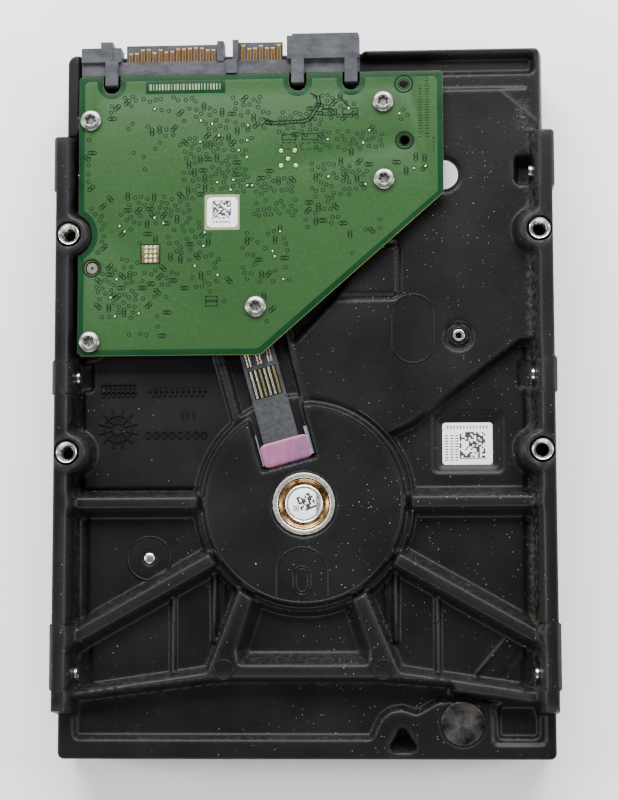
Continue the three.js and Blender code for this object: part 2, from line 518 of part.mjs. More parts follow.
// Connector housing: two contact tongues, key walls, guide posts and three board legs.
function driveConnector() {
  const x = (value) => LEFT + value;
  const y = (value) => FRONT - value;
  const z = (value) => Z_RAIL - value;
  const list = [
    block(x(5.3), x(62.4), y(8.1), y(5.3), z(5.9), z(2.1)),
    block(x(5.3), x(13.5), y(5.4), y(2.4), z(5.9), z(1.4)),
    block(x(9.3), x(11.8), y(5.4), y(1.2), z(5.9), z(1.2)),
    block(x(14.4), x(33.8), y(5.4), y(1.6), z(4.4), z(3.1)),
    block(x(33.2), x(34.6), y(5.4), y(1.2), z(5.9), z(1.8)),
    block(x(36.4), x(37.6), y(5.4), y(1.0), z(5.9), z(1.8)),
    block(x(37.5), x(46.6), y(5.4), y(1.3), z(4.4), z(3.1)),
    block(x(47.6), x(62.4), y(5.4), y(0.6), z(5.9), z(1.0)),
    block(x(48.6), x(62.2), y(0.7), y(0), z(5.2), z(1.6)),
  ];
  for (const legX of [11.6, 49.8, 60.7]) {
    list.push(block(x(legX - 1.3), x(legX + 1.3), y(10.4), y(7.9), z(3.6), z(1.0)));
    list.push(block(x(legX - 1.3), x(legX + 1.3), y(8.2), y(5.3), z(3.6), z(1.0)));
  }
  list.push(block(x(35.1), x(37.4), y(8.1), y(5.3), z(3.6), z(1.2)));
  const body = union(list);
  return cut(body, [
    block(x(14.6), x(33.0), y(8.3), y(5.2), z(3.1), z(2.7)),
    block(x(37.7), x(46.4), y(8.3), y(5.2), z(3.1), z(2.7)),
    block(x(51.0), x(60.0), y(4.6), y(-1), z(4.4), z(2.2)),
  ]);
}

// Contacts lie on the tongue and are joined by a strip under the board's edge.
function contactComb(fromX, count, pitch) {
  const z0 = Z_RAIL - 3.1 + TOUCH;
  const z1 = z0 + 0.25;
  const list = [block(fromX, fromX + pitch * (count - 1) + 0.7, FRONT - 9.0, FRONT - 8.4, z0, z1)];
  for (let i = 0; i < count; i += 1) {
    const x = fromX + pitch * i;
    list.push(block(x, x + 0.7, FRONT - 8.5, FRONT - 2.0, z0, z1));
  }
  return union(list);
}

function jumperPins() {
  const list = [block(LEFT + 52.0, LEFT + 59.2, FRONT - 4.4, FRONT - 3.6, Z_RAIL - 4.2, Z_RAIL - 2.4)];
  for (let i = 0; i < 3; i += 1) {
    const x = LEFT + 52.6 + i * 2.54;
    list.push(block(x, x + 0.64, FRONT - 3.7, FRONT - 0.9, Z_RAIL - 3.7, Z_RAIL - 3.06));
  }
  return union(list);
}

function chip(fromX, toX, fromY, toY, tall) {
  return block(LEFT + fromX, LEFT + toX, FRONT - toY, FRONT - fromY, Z_BOARD - TOUCH - tall, Z_BOARD - TOUCH);
}

function motorStrip() {
  const z0 = Z_RIB - 1.55;
  return prism(stripBand(0.4, STRIP_LENGTH, -3.4, 3.8), z0, z0 + 0.2);
}

// ---- Motor ------------------------------------------------------------------------------------
function statorCore() {
  const z0 = Z_WELL_TOP - 3.0;
  const z1 = z0 + 1.6;
  const tip = HUB_R - 3.1;
  const list = [prism(ring(SPIN_X, SPIN_Y, 8.6, 27), z0, z1, [ring(SPIN_X, SPIN_Y, 7.0 + FIT, 27)])];
  for (let i = 0; i < 9; i += 1) {
    const t = radians(40 * i);
    const at = (r) => [SPIN_X + r * Math.cos(t), SPIN_Y + r * Math.sin(t)];
    list.push(bar(...at(8.0), ...at(tip), 1.4, z0, z1));
    list.push(bar(...at(tip - 0.7), ...at(tip + 0.1), 5.6, z0, z1));
  }
  return union(list);
}

function statorWindings() {
  const z0 = Z_WELL_TOP - 3.0;
  const list = [prism(ring(SPIN_X, SPIN_Y, 9.5, 18), z0 - 0.7, z0 - 0.15, [ring(SPIN_X, SPIN_Y, 8.8, 18)])];
  for (let i = 0; i < 9; i += 1) {
    const t = radians(40 * i);
    const [c, s] = [Math.cos(t), Math.sin(t)];
    const at = (r) => [SPIN_X + r * c, SPIN_Y + r * s];
    const outer = bar(...at(9.1), ...at(11.3), 3.2, z0 - 0.7, z0 + 2.3);
    list.push(outer.subtract(bar(...at(8.0), ...at(12.0), 1.7, z0 - 0.15, z0 + 1.75)));
  }
  return union(list);
}

function motorHub() {
  const seat = Z_PLATTER + PLATTER_THICKNESS + TOUCH;
  const post = PLATTER_HOLE / 2 - FIT;
  return turned([[2.1, seat + 2.4], [2.1, 5.4], [post, 5.4], [post, seat], [HUB_R, seat], [HUB_R, Z_WELL_TOP - 0.6],
    [HUB_R - 1.25, Z_WELL_TOP - 0.6], [HUB_R - 1.25, seat + 2.4]], SPIN_X, SPIN_Y, 40);
}

// ---- Head arm -----------------------------------------------------------------------------------
const armPoint = (radius, degrees) => [
  PIVOT_X + radius * REACH * Math.cos(radians(degrees)),
  PIVOT_Y + radius * REACH * Math.sin(radians(degrees)),
];

function headArm() {
  const a = PARKED_DEG;
  const hub = prism(ring(PIVOT_X, PIVOT_Y, 8.2 * REACH, 36), 2.7, 10.2);
  const plates = [];
  for (const [z0, z1] of [[3.9, 4.7], [8.35, 9.15]]) {
    plates.push(prism([armPoint(7.6, a - 52), armPoint(20, a - 9), armPoint(30.6, a - 4.4), armPoint(31.6, a - 2.6),
      armPoint(31.6, a + 2.6), armPoint(30.6, a + 4.4), armPoint(20, a + 9), armPoint(7.6, a + 52)], z0, z1,
    [[armPoint(12.5, a - 8), armPoint(21, a - 4), armPoint(21, a + 4), armPoint(12.5, a + 8)]]));
  }
  const back = a + 180;
  const forkZ = [Z_DISK_MID - 1.0, Z_DISK_MID + 1.0];
  const forks = [-1, 1].map((s) => prism(s > 0
    ? [armPoint(7.4, back + 22), armPoint(7.4, back + 50), armPoint(20.5, back + 27), armPoint(20.5, back + 23)]
      .reverse()
    : [armPoint(7.4, back - 50), armPoint(7.4, back - 22), armPoint(20.5, back - 23), armPoint(20.5, back - 27)]
      .reverse(), ...forkZ));
  const bore = prism(ring(PIVOT_X, PIVOT_Y, 5.6 * REACH, 32), 1, 12);
  return cut(union([hub, ...plates, ...forks]), [bore]);
}

function voiceCoil() {
  const back = PARKED_DEG + 180;
  const sector = (r0, r1, half, n) => [
    ...arc(PIVOT_X, PIVOT_Y, r1 * REACH, back - half, back + half, n),
    ...arc(PIVOT_X, PIVOT_Y, r0 * REACH, back + half * 0.9, back - half * 0.9, 3),
  ];
  return prism(sector(9.6, 22.0, 17.5, 10), Z_DISK_MID - 0.95, Z_DISK_MID + 0.95, [sector(12.4, 18.6, 10, 6)]);
}

// Each spring sits against its arm plate and carries the slider near the platter.
function suspension(above) {
  const a = PARKED_DEG;
  const flip = (z) => (above ? z : 2 * Z_DISK_MID - z);
  const layer = (points, za, zb) => prism(points, Math.min(flip(za), flip(zb)), Math.max(flip(za), flip(zb)));
  const plate = layer([armPoint(25.5, a - 4.2), armPoint(31.2, a - 3.4), armPoint(31.2, a + 3.4),
    armPoint(25.5, a + 4.2)], 4.76, 4.96);
  const beam = layer([armPoint(30.5, a - 3.2), armPoint(49.5, a - 0.8), armPoint(51.6, a - 0.5),
    armPoint(51.6, a + 0.5), armPoint(49.5, a + 0.8), armPoint(30.5, a + 3.2)], 4.8, 4.93);
  return plate.add(beam);
}

function slider(above) {
  const [x, y] = armPoint(49.5, PARKED_DEG);
  const za = 4.98;
  const zb = 5.3;
  const [z0, z1] = above ? [za, zb] : [2 * Z_DISK_MID - zb, 2 * Z_DISK_MID - za];
  return block(x - 0.6, x + 0.6, y - 0.5, y + 0.5, z0, z1);
}

function magnetSector(r0, r1, from, to, z0, z1, cuts = []) {
  const points = [...arc(PIVOT_X, PIVOT_Y, r1 * REACH, from, to, 14),
    ...arc(PIVOT_X, PIVOT_Y, r0 * REACH, to, from, 10)];
  return cut(prism(points, z0, z1), cuts);
}

// A small hook that stands clear of the coil's tail while the heads are parked.
const LATCH_POST = armPoint(20, 208);
function armLatch() {
  const outline = [armPoint(22.6, 196.5), armPoint(24.2, 197), armPoint(23.6, 206), armPoint(21, 213),
    armPoint(18.6, 213), armPoint(18.2, 205), armPoint(21.2, 203)];
  return prism(outline, 5.2, 7.8, [ring(...LATCH_POST, 0.95, 14)]);
}

// The ramp reaches over and under the platter's edge to lift the heads off it.
function parkingRamp() {
  const sector = (r0, r1, from, to, z0, z1) => prism([...arc(PIVOT_X, PIVOT_Y, r1 * REACH, from, to, 6),
    ...arc(PIVOT_X, PIVOT_Y, r0 * REACH, to, from, 6)], z0, z1);
  const body = sector(53.2, 57.4, -26, -12, 3.9, Z_CAVITY_TOP - 0.2);
  const lip = Z_PLATTER - 5.45;
  const fingers = sector(50.4, 53.6, -21, -12, Z_PLATTER - 0.75, Z_PLATTER - lip + 0.25);
  const fingersLow = sector(50.4, 53.6, -21, -12, 2 * Z_DISK_MID - (Z_PLATTER - lip + 0.25),
    2 * Z_DISK_MID - (Z_PLATTER - 0.75));
  const diskGap = disc(SPIN_X, SPIN_Y, PLATTER_R + 0.4, Z_PLATTER - 0.25,
    Z_PLATTER + PLATTER_THICKNESS + 0.25, 72);
  return cut(union([body, fingers, fingersLow]), [diskGap, disc(RAMP.x, RAMP.y, 0.75, 8, Z_CAVITY_TOP, 16)]);
}

// ---- Assembly: cover and casting ------------------------------------------------------------------
piece('base_casting', baseCasting(), 0x17181a, 0.48, 0.35);
piece('top_cover', topCover(), 0xa9adb0, 0.4, 0.9);
piece('cover_gasket', gasket(), 0x1c1c1d, 0.85, 0.0);
piece('cover_label', coverLabel(), 0xe8e8e4, 0.55, 0.0);
COVER_SCREWS.forEach(([x, y], i) => {
  piece(`cover_screw_${i + 1}`, screw(x, y, 2.0, 0.1, Z_FLANGE - TOUCH, 1.0, Z_RIM + 4.2), 0x8f9396, 0.35, 0.95);
});
piece('pivot_screw', screw(PIVOT_X, PIVOT_Y, 2.6, 0.1, 0.9, 1.1, 6.0), 0x8f9396, 0.35, 0.95);
piece('dust_filter', bar(SPIN_X + 39.2 * REACH, SPIN_Y + 43.6 * REACH, SPIN_X + 36 * REACH,
  SPIN_Y + 37.4 * REACH, 1.6, Z_RIM + 0.5,
  Z_CAVITY_TOP - 0.4), 0xe6e6e0, 0.95, 0.0);

// ---- Assembly: circuit board ----------------------------------------------------------------------
piece('circuit_board', circuitBoard(), 0x4b7a48, 0.5, 0.1);
piece('board_insulator', boardInsulator(), 0x26282b, 0.95, 0.0);
BOARD_SCREWS.forEach(([x, y], i) => {
  piece(`board_screw_${i + 1}`, screw(x, y, BOARD_SCREW_RADIUS, Z_BOARD_TOP + TOUCH, Z_BOARD_TOP + 1.2, 1.05,
    Z_BOARD_SEAT - 2.6), 0xc9cbcc, 0.25, 0.95);
});
piece('drive_connector', driveConnector(), 0x33373d, 0.6, 0.0);
piece('power_contacts', contactComb(LEFT + 15.0, 15, 1.22), 0x9a7b4a, 0.35, 0.85);
piece('signal_contacts', contactComb(LEFT + 38.2, 7, 1.22), 0x9a7b4a, 0.35, 0.85);
piece('service_pins', jumperPins(), 0xb59a5c, 0.3, 0.9);
piece('controller_chip', chip(24, 38, 28, 42, 1.3), 0x1b1c1e, 0.6, 0.0);
piece('motor_driver_chip', chip(20, 30, 44.5, 54, 1.2), 0x1b1c1e, 0.6, 0.0);
piece('board_tag', block(LEFT + 31.3, LEFT + 37.5, FRONT - 40.1, FRONT - 33.9, Z_BOARD_TOP + 0.02,
  Z_BOARD_TOP + 0.12), 0xeceeee, 0.6, 0.0);
piece('head_connector', block(LEFT + 54.0, LEFT + 66.0, FRONT - 24.7, FRONT - 20.3, Z_COIL_ROOM - 2.6,
  Z_BOARD - 0.2), 0x2a2622, 0.6, 0.0);

// ---- Assembly: motor ------------------------------------------------------------------------------
piece('motor_strip', motorStrip(), 0x33363b, 0.55, 0.1);
piece('strip_adhesive', prism(stripBand(0, 5.0, -4.5, 5.7), Z_RIB - 1.28, Z_RIB - 0.85), 0xb08fb4, 0.5, 0.0);
piece('stator_core', statorCore(), 0x6e7174, 0.5, 0.8);
piece('stator_windings', statorWindings(), 0xa8623a, 0.4, 0.7);
piece('bearing_sleeve', turned([[2.1, 9.85], [5.15, 9.85], [5.15, Z_RIB - 0.35], [3.85, Z_RIB - 0.35],
  [3.85, Z_RIB - 0.9], [2.1, Z_RIB - 0.9]], SPIN_X, SPIN_Y, 36), 0xa67c45, 0.35, 0.85);
piece('sleeve_ring', turned([[5.3, Z_RIB - 0.65], [6.25, Z_RIB - 0.65], [6.25, Z_RIB + 0.15], [5.3, Z_RIB + 0.15]],
  SPIN_X, SPIN_Y, 36), 0xc4c6c8, 0.25, 0.95);
piece('motor_tag', disc(SPIN_X, SPIN_Y, 3.15, Z_RIB - 0.35, Z_RIB - 0.25, 28), 0xeceeee, 0.6, 0.0);
piece('motor_hub', motorHub(), 0xb4b7ba, 0.3, 0.9);
piece('spindle_shaft', cut(disc(SPIN_X, SPIN_Y, 1.95, 5.2, Z_RIB - 1.0, 20),
  [disc(SPIN_X, SPIN_Y, 1.15, 4, 9.6, 14)]), 0xc8cacc, 0.2, 0.95);
piece('rotor_magnet', prism(ring(SPIN_X, SPIN_Y, HUB_R - 1.4, 40), 10.2, Z_WELL_TOP - 0.7,
  [ring(SPIN_X, SPIN_Y, HUB_R - 2.5, 40)]), 0x3b3d40, 0.5, 0.6);
piece('platter', prism(ring(SPIN_X, SPIN_Y, PLATTER_R, 80), Z_PLATTER, Z_PLATTER + PLATTER_THICKNESS,
  [ring(SPIN_X, SPIN_Y, PLATTER_HOLE / 2, 36)]), 0xd4d6d8, 0.08, 1.0);
piece('disk_clamp', turned([[1.6, 4.3], [HUB_R - 2.7, 4.3], [HUB_R + 0.1, 4.9],
  [HUB_R + 0.1, Z_PLATTER - TOUCH], [HUB_R - 1.9, Z_PLATTER - TOUCH], [HUB_R - 1.9, 5.3],
  [1.6, 5.1]], SPIN_X, SPIN_Y, 40), 0xb0b3b6, 0.3, 0.9);
piece('clamp_screw', screw(SPIN_X, SPIN_Y, 2.9, 3.2, 4.25, 0.95, 9.2), 0x8f9396, 0.3, 0.95);

// ---- Assembly: head arm ----------------------------------------------------------------------------
piece('head_arm', headArm(), 0xbdc0c3, 0.35, 0.85);
piece('pivot_bearing', prism(ring(PIVOT_X, PIVOT_Y, 5.5 * REACH, 32), 2.5, 10.4,
  [ring(PIVOT_X, PIVOT_Y, 2.6 * REACH, 24)]), 0x9b9ea1, 0.3, 0.95);
piece('voice_coil', voiceCoil(), 0xb0703c, 0.4, 0.7);
piece('suspension_upper', suspension(true), 0xc9cbcd, 0.25, 0.95);
piece('suspension_lower', suspension(false), 0xc9cbcd, 0.25, 0.95);
piece('head_slider_upper', slider(true), 0x242527, 0.3, 0.4);
piece('head_slider_lower', slider(false), 0x242527, 0.3, 0.4);
piece('pivot_shaft', cut(disc(PIVOT_X, PIVOT_Y, 2.4 * REACH, 2.05, Z_COIL_ROOM - 0.05, 20),
  [disc(PIVOT_X, PIVOT_Y, 1.25, 1, 7, 14)]), 0xc4c6c8, 0.25, 0.95);
piece('magnet_yoke_upper', magnetSector(11.2, 24.2, 104, 188, Z_RIM + 0.05, Z_RIM + 1.35), 0xa2a5a8, 0.4, 0.85);
piece('magnet_yoke_lower', magnetSector(11.2, 24.2, 104, 188, 10.55, Z_COIL_ROOM - 0.1), 0xa2a5a8, 0.4, 0.85);
piece('arm_magnet_upper', magnetSector(12.4, 22.6, 116, 182, Z_RIM + 1.42, 5.1), 0x8f9194, 0.3, 0.9);
piece('arm_magnet_lower', magnetSector(12.4, 22.6, 116, 182, 8.1, 10.48), 0x8f9194, 0.3, 0.9);
piece('crash_stop', disc(...armPoint(23.2, 186.2), 0.8, Z_RIM + 1.42, 10.48, 14), 0x202124, 0.9, 0.0);
piece('parking_ramp', parkingRamp(), 0xd9d4c4, 0.6, 0.0);
piece('ramp_screw', screw(RAMP.x, RAMP.y, 0.6, Z_DECK - 0.6, Z_DECK + 0.2, 0.6, 8.6, false), 0xc9cbcc, 0.3, 0.9);
piece('service_pin', disc(SERVICE_PIN.x, SERVICE_PIN.y, 0.75, Z_PANEL - 0.5, Z_PANEL + 1.0, 14), 0xb9bbbd, 0.3, 0.9);
piece('arm_latch', armLatch(), 0x2b2c2f, 0.7, 0.0);
piece('seal_disc', disc(LEFT + 79.3, FRONT - 29.4, 2.9, Z_DECK + 0.02, Z_DECK + 0.2, 28), 0xc3c3bf, 0.5, 0.4);
piece('foil_seal', disc(FOIL.x, FOIL.y, FOIL.r - 0.1, Z_PANEL + 0.82, Z_PANEL + 0.92, 28), 0x77797b, 0.35, 0.8);
piece('casting_tag', block(TAG.x - TAG.wide / 2, TAG.x + TAG.wide / 2, TAG.y - TAG.tall / 2, TAG.y + TAG.tall / 2,
  Z_PANEL - 0.78, Z_PANEL - 0.68), 0xeceeee, 0.6, 0.0);

export default drive;
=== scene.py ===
import bmesh
import bpy
import numpy as np
from mathutils import Matrix


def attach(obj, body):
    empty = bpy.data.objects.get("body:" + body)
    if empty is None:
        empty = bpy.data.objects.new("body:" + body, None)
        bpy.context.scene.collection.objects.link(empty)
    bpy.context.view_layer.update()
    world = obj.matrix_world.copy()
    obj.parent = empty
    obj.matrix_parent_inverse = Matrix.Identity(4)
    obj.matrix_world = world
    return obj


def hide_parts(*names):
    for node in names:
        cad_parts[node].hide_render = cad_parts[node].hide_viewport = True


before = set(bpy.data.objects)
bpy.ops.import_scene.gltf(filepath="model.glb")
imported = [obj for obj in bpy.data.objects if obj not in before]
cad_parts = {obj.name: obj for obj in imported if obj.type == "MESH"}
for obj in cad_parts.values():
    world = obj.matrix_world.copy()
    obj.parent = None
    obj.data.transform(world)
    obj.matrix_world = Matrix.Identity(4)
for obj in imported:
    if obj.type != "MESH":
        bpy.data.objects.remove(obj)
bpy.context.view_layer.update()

lens = bpy.data.cameras.new("studio_camera")
lens.lens = 90.0
lens.sensor_width = 36.0
camera = bpy.data.objects.new("studio_camera", lens)
camera_turn = Matrix(((0.99824, 0.00843, 0.0587), (-0.00231, 0.99463, -0.10351),
                      (-0.05926, 0.10319, 0.99289)))
camera.matrix_world = Matrix.Translation((0.02472, -0.0435, 0.41708)) @ camera_turn.to_4x4()
bpy.context.scene.collection.objects.link(camera)
bpy.context.scene.camera = camera


def add_node(tree, kind, inputs=None, **settings):
    """One shader node of a kind, its inputs set to values or joined to other nodes' outputs."""
    node = tree.nodes.new("ShaderNode" + kind)
    for name, value in settings.items():
        setattr(node, name, value)
    for name, value in (inputs or {}).items():
        if isinstance(value, bpy.types.NodeSocket):
            tree.links.new(value, node.inputs[name])
        else:
            node.inputs[name].default_value = value
    return node


def new_finish(name, colour, roughness, metallic=0.0):
    """A finish with its own tree: material, tree, shader, and the place on the piece in metres."""
    material = bpy.data.materials.new(name)
    material.use_nodes = True
    tree = material.node_tree
    shader = tree.nodes["Principled BSDF"]
    shader.inputs["Base Color"].default_value = (*colour, 1.0)
    shader.inputs["Roughness"].default_value = roughness
    shader.inputs["Metallic"].default_value = metallic
    place = add_node(tree, "TexCoord").outputs["Object"]
    return material, tree, shader, place


def noise(tree, place, scale, detail=2.0, rough=0.5):
    """Cloudy variation from 0 to 1, scale times per metre."""
    return add_node(tree, "TexNoise", {"Vector": place, "Scale": scale, "Detail": detail,
                                       "Roughness": rough}).outputs["Fac"]


def along_grain(tree, place, scale, turn=0.0):
    """The place spread by a scale on each axis and turned about the vertical, for grain that runs one way."""
    return add_node(tree, "Mapping", {"Vector": place, "Rotation": (0, 0, turn), "Scale": scale}).outputs[0]


def sums(tree, operation, first, second=0.5, clamp=False):
    """One arithmetic step between two numbers or outputs."""
    return add_node(tree, "Math", {0: first, 1: second}, operation=operation, use_clamp=clamp).outputs[0]


def stretch(tree, value, low, high, to_low=0.0, to_high=1.0):
    """A value between low and high is spread over the new range, and held at its ends."""
    return add_node(tree, "MapRange", {"Value": value, "From Min": low, "From Max": high,
                                       "To Min": to_low, "To Max": to_high}).outputs["Result"]


def blend(tree, factor, first, second):
    """The first colour where the factor is 0, the second where it is 1."""
    node = add_node(tree, "Mix", data_type="RGBA")
    for index, value in ((0, factor), (6, first), (7, second)):
        if isinstance(value, bpy.types.NodeSocket):
            tree.links.new(value, node.inputs[index])
        elif index == 0:
            node.inputs[index].default_value = value
        else:
            node.inputs[index].default_value = (*value, 1.0)
    return node.outputs[2]


def paint(tree, shader, name, output):
    """Joins an output to one of the shader's inputs."""
    tree.links.new(output, shader.inputs[name])


def emboss(tree, shader, height, distance, strength=1.0):
    """Fine relief: the surface rises by distance, in metres, where the height is 1."""
    bump = add_node(tree, "Bump", {"Height": height, "Distance": distance, "Strength": strength})
    paint(tree, shader, "Normal", bump.outputs["Normal"])


def lamp(name, place, size, power):
    """A soft rectangular light that faces the middle of the drive."""
    light = bpy.data.lights.new(name, "AREA")
    light.shape = "RECTANGLE"
    light.size, light.size_y = size
    light.energy = power
    stand = bpy.data.objects.new(name, light)
    stand.location = place
    stand.rotation_euler = (-stand.location).to_track_quat("-Z", "Y").to_euler()
    bpy.context.scene.collection.objects.link(stand)


lamp("back_softbox", (0.0, 0.60, 0.50), (1.0, 0.40), 24.0)
lamp("front_softbox", (0.0, -0.70, 0.45), (0.9, 0.30), 5.0)
lamp("left_strip", (-0.62, 0.02, 0.30), (0.12, 0.6), 4.0)
lamp("right_strip", (0.62, 0.02, 0.30), (0.12, 0.6), 4.0)
sky = bpy.data.worlds.new("studio_walls")
sky.use_nodes = True
sky.node_tree.nodes["Background"].inputs["Color"].default_value = (0.95, 0.97, 1.0, 1.0)
sky.node_tree.nodes["Background"].inputs["Strength"].default_value = 0.22
bpy.context.scene.world = sky

card, tree, shader, place = new_finish("pale_card", (0.86, 0.86, 0.86), 0.8)
tooth = noise(tree, place, 900.0, 3.0)
paint(tree, shader, "Base Color", blend(tree, tooth, (0.84, 0.84, 0.85), (0.88, 0.88, 0.88)))
emboss(tree, shader, tooth, 0.00004)
sheet = bpy.data.meshes.new("floor")
sheet.from_pydata([(-2, -2, -0.0002), (2, -2, -0.0002), (2, 2, -0.0002), (-2, 2, -0.0002)], [],
                  [(0, 1, 2, 3)])
floor = bpy.data.objects.new("floor", sheet)
floor.data.materials.append(card)
bpy.context.scene.collection.objects.link(floor)

# ---- Base casting ------------------------------------------------------------------------------
# One die casting of aluminium with a thin black coat: two rails, ribs, a round motor seat and bosses.
# The die leaves every wall sloped and every edge round, and dust has settled along the walls' feet. Slopes
# facing the back softbox and the right rail's inner wall get the same lighter dust colour as painted light,
# and round edges get a painted highlight.
SPIN = (0.0, -22.695)
REAR, FRONT_EDGE = -73.495, 70.395
RAIL_REAR, RAIL_FRONT = -64.395, 52.995
Z_RAIL, Z_DISC, Z_DECK, Z_LOW, Z_PANEL, Z_SUNK = 20.2, 17.2, 16.0, 14.6, 13.4, 12.5
BODY_HALF, RAIL_HOLE_X, SIDE_HOLE_Z = 50.3, 47.62, 13.85
THREAD_PITCH = 0.79
SIDE_HOLES = (44.995, 3.395, -56.605)
BOTTOM_HOLES = (32.215, -12.235)
BOARD_SCREWS = [(-43.4, 55.895), (16.4, 58.895), (16.5, 42.895), (-9.6, 17.095), (-43.4, 10.195)]
STRIP_FOOT = (-3.55, -14.595)
STRIP_ALONG = (-0.2639, 0.9646)
STRIP_SIDE = (0.9646, 0.2639)
STRIP_TURN = -0.267


def make_piece(name, points, faces, finish, body, smooth=50.0, node=None, slot=None):
    """A mesh piece from points in millimetres, riding on its body, with edges over the angle left sharp."""
    mesh = bpy.data.meshes.new(name)
    mesh.from_pydata(np.asarray(points) * 0.001, [], faces)
    return finish_piece(name, mesh, finish, body, smooth, node)


def finish_piece(name, mesh, finish, body, smooth=50.0, node=None):
    """Gives a mesh its finish and puts it on its body, in place of a node if one is named."""
    mesh.materials.clear()
    mesh.materials.append(finish)
    mesh.polygons.foreach_set("use_smooth", np.ones(len(mesh.polygons), bool))
    mesh.set_sharp_from_angle(angle=np.radians(smooth))
    piece = bpy.data.objects.new(name, mesh)
    bpy.context.scene.collection.objects.link(piece)
    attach(piece, body)
    if node:
        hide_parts(*([node] if isinstance(node, str) else node))
    return piece


def outline_distance(x, y, corners):
    """Distance to a closed outline: to its nearest edge, and negative inside."""
    corners = np.asarray(corners, float)
    nearest = np.full(x.shape, 1e9)
    inside = np.zeros(x.shape, bool)
    for (ax, ay), (bx, by) in zip(corners, np.roll(corners, -1, axis=0)):
        nearest = np.minimum(nearest, bar_distance(x, y, ax, ay, bx, by))
        if ay != by:
            inside ^= ((ay > y) != (by > y)) & (x < (bx - ax) * (y - ay) / (by - ay) + ax)
    return np.where(inside, -nearest, nearest)


def bar_distance(x, y, ax, ay, bx, by):
    """Distance to a straight line between two points."""
    ex, ey = bx - ax, by - ay
    along = np.clip(((x - ax) * ex + (y - ay) * ey) / (ex * ex + ey * ey), 0, 1)
    return np.hypot(x - ax - along * ex, y - ay - along * ey)


def box_distance(x, y, x0, x1, y0, y1, corner=0.0):
    """Distance to a rectangle with round corners, negative inside."""
    dx = np.abs(x - (x0 + x1) / 2) - (x1 - x0) / 2 + corner
    dy = np.abs(y - (y0 + y1) / 2) - (y1 - y0) / 2 + corner
    return np.hypot(np.maximum(dx, 0), np.maximum(dy, 0)) + np.minimum(np.maximum(dx, dy), 0) - corner


def wall(distance, slope):
    """Height share across a wall as wide as slope: 1 inside, 0 outside, even between round head and foot."""
    share = np.clip(0.5 - distance / slope, 0, 1)
    low = np.minimum(share, 1 - share)
    curve = np.where(low < 0.25, low * low / 0.375, (low - 0.125) / 0.75)
    return np.where(share > 0.5, 1 - curve, curve)


def raised(z, distance, height, slope):
    """Lifts the floor to a height inside an outline."""
    return z + np.maximum(height - z, 0) * wall(distance, slope)


def sunk(z, distance, floor_height, slope):
    """Lowers the floor to a height inside an outline."""
    return z + np.minimum(floor_height - z, 0) * wall(distance, slope)


def scored(z, distance, width, depth):
    """A fine groove, or a bead where the depth is negative, along the line at distance 0."""
    return z - depth * np.exp(-(distance / width) ** 2)


def merged(first, second, reach):
    """The nearer of two distances, with a hollow curve of that reach where they meet."""
    share = np.clip(0.5 + 0.5 * (second - first) / reach, 0, 1)
    return second + (first - second) * share - reach * share * (1 - share)


def casting_half_width(y):
    """Half the casting's width at each place along it: rails, side pads and the corners' quarter circles."""
    stops = [(REAR, 49.9), (RAIL_REAR - 0.1, 49.9), (RAIL_REAR + 0.1, BODY_HALF), (-59.8, BODY_HALF),
             (-59.5, 50.8), (-46.7, 50.8), (-46.4, BODY_HALF), (-0.7, BODY_HALF), (-0.4, 50.8), (6.2, 50.8),
             (6.5, BODY_HALF), (41.0, BODY_HALF), (41.3, 50.8), (52.0, 50.8), (52.6, 50.55), (52.9, 50.0),
             (53.1, 48.75), (FRONT_EDGE, 48.75)]
    width = np.interp(y, *zip(*stops))
    for reach, radius in ((y - REAR, 1.3), (FRONT_EDGE - y, 1.8)):
        near = np.clip(radius - reach, 0, radius)
        width = width - radius + np.sqrt(radius ** 2 - near ** 2)
    return width


def strip_place(x, y):
    """How far a point lies along the motor's flexible strip, and how far to its side."""
    dx, dy = x - STRIP_FOOT[0], y - STRIP_FOOT[1]
    return dx * STRIP_ALONG[0] + dy * STRIP_ALONG[1], dx * STRIP_SIDE[0] + dy * STRIP_SIDE[1]


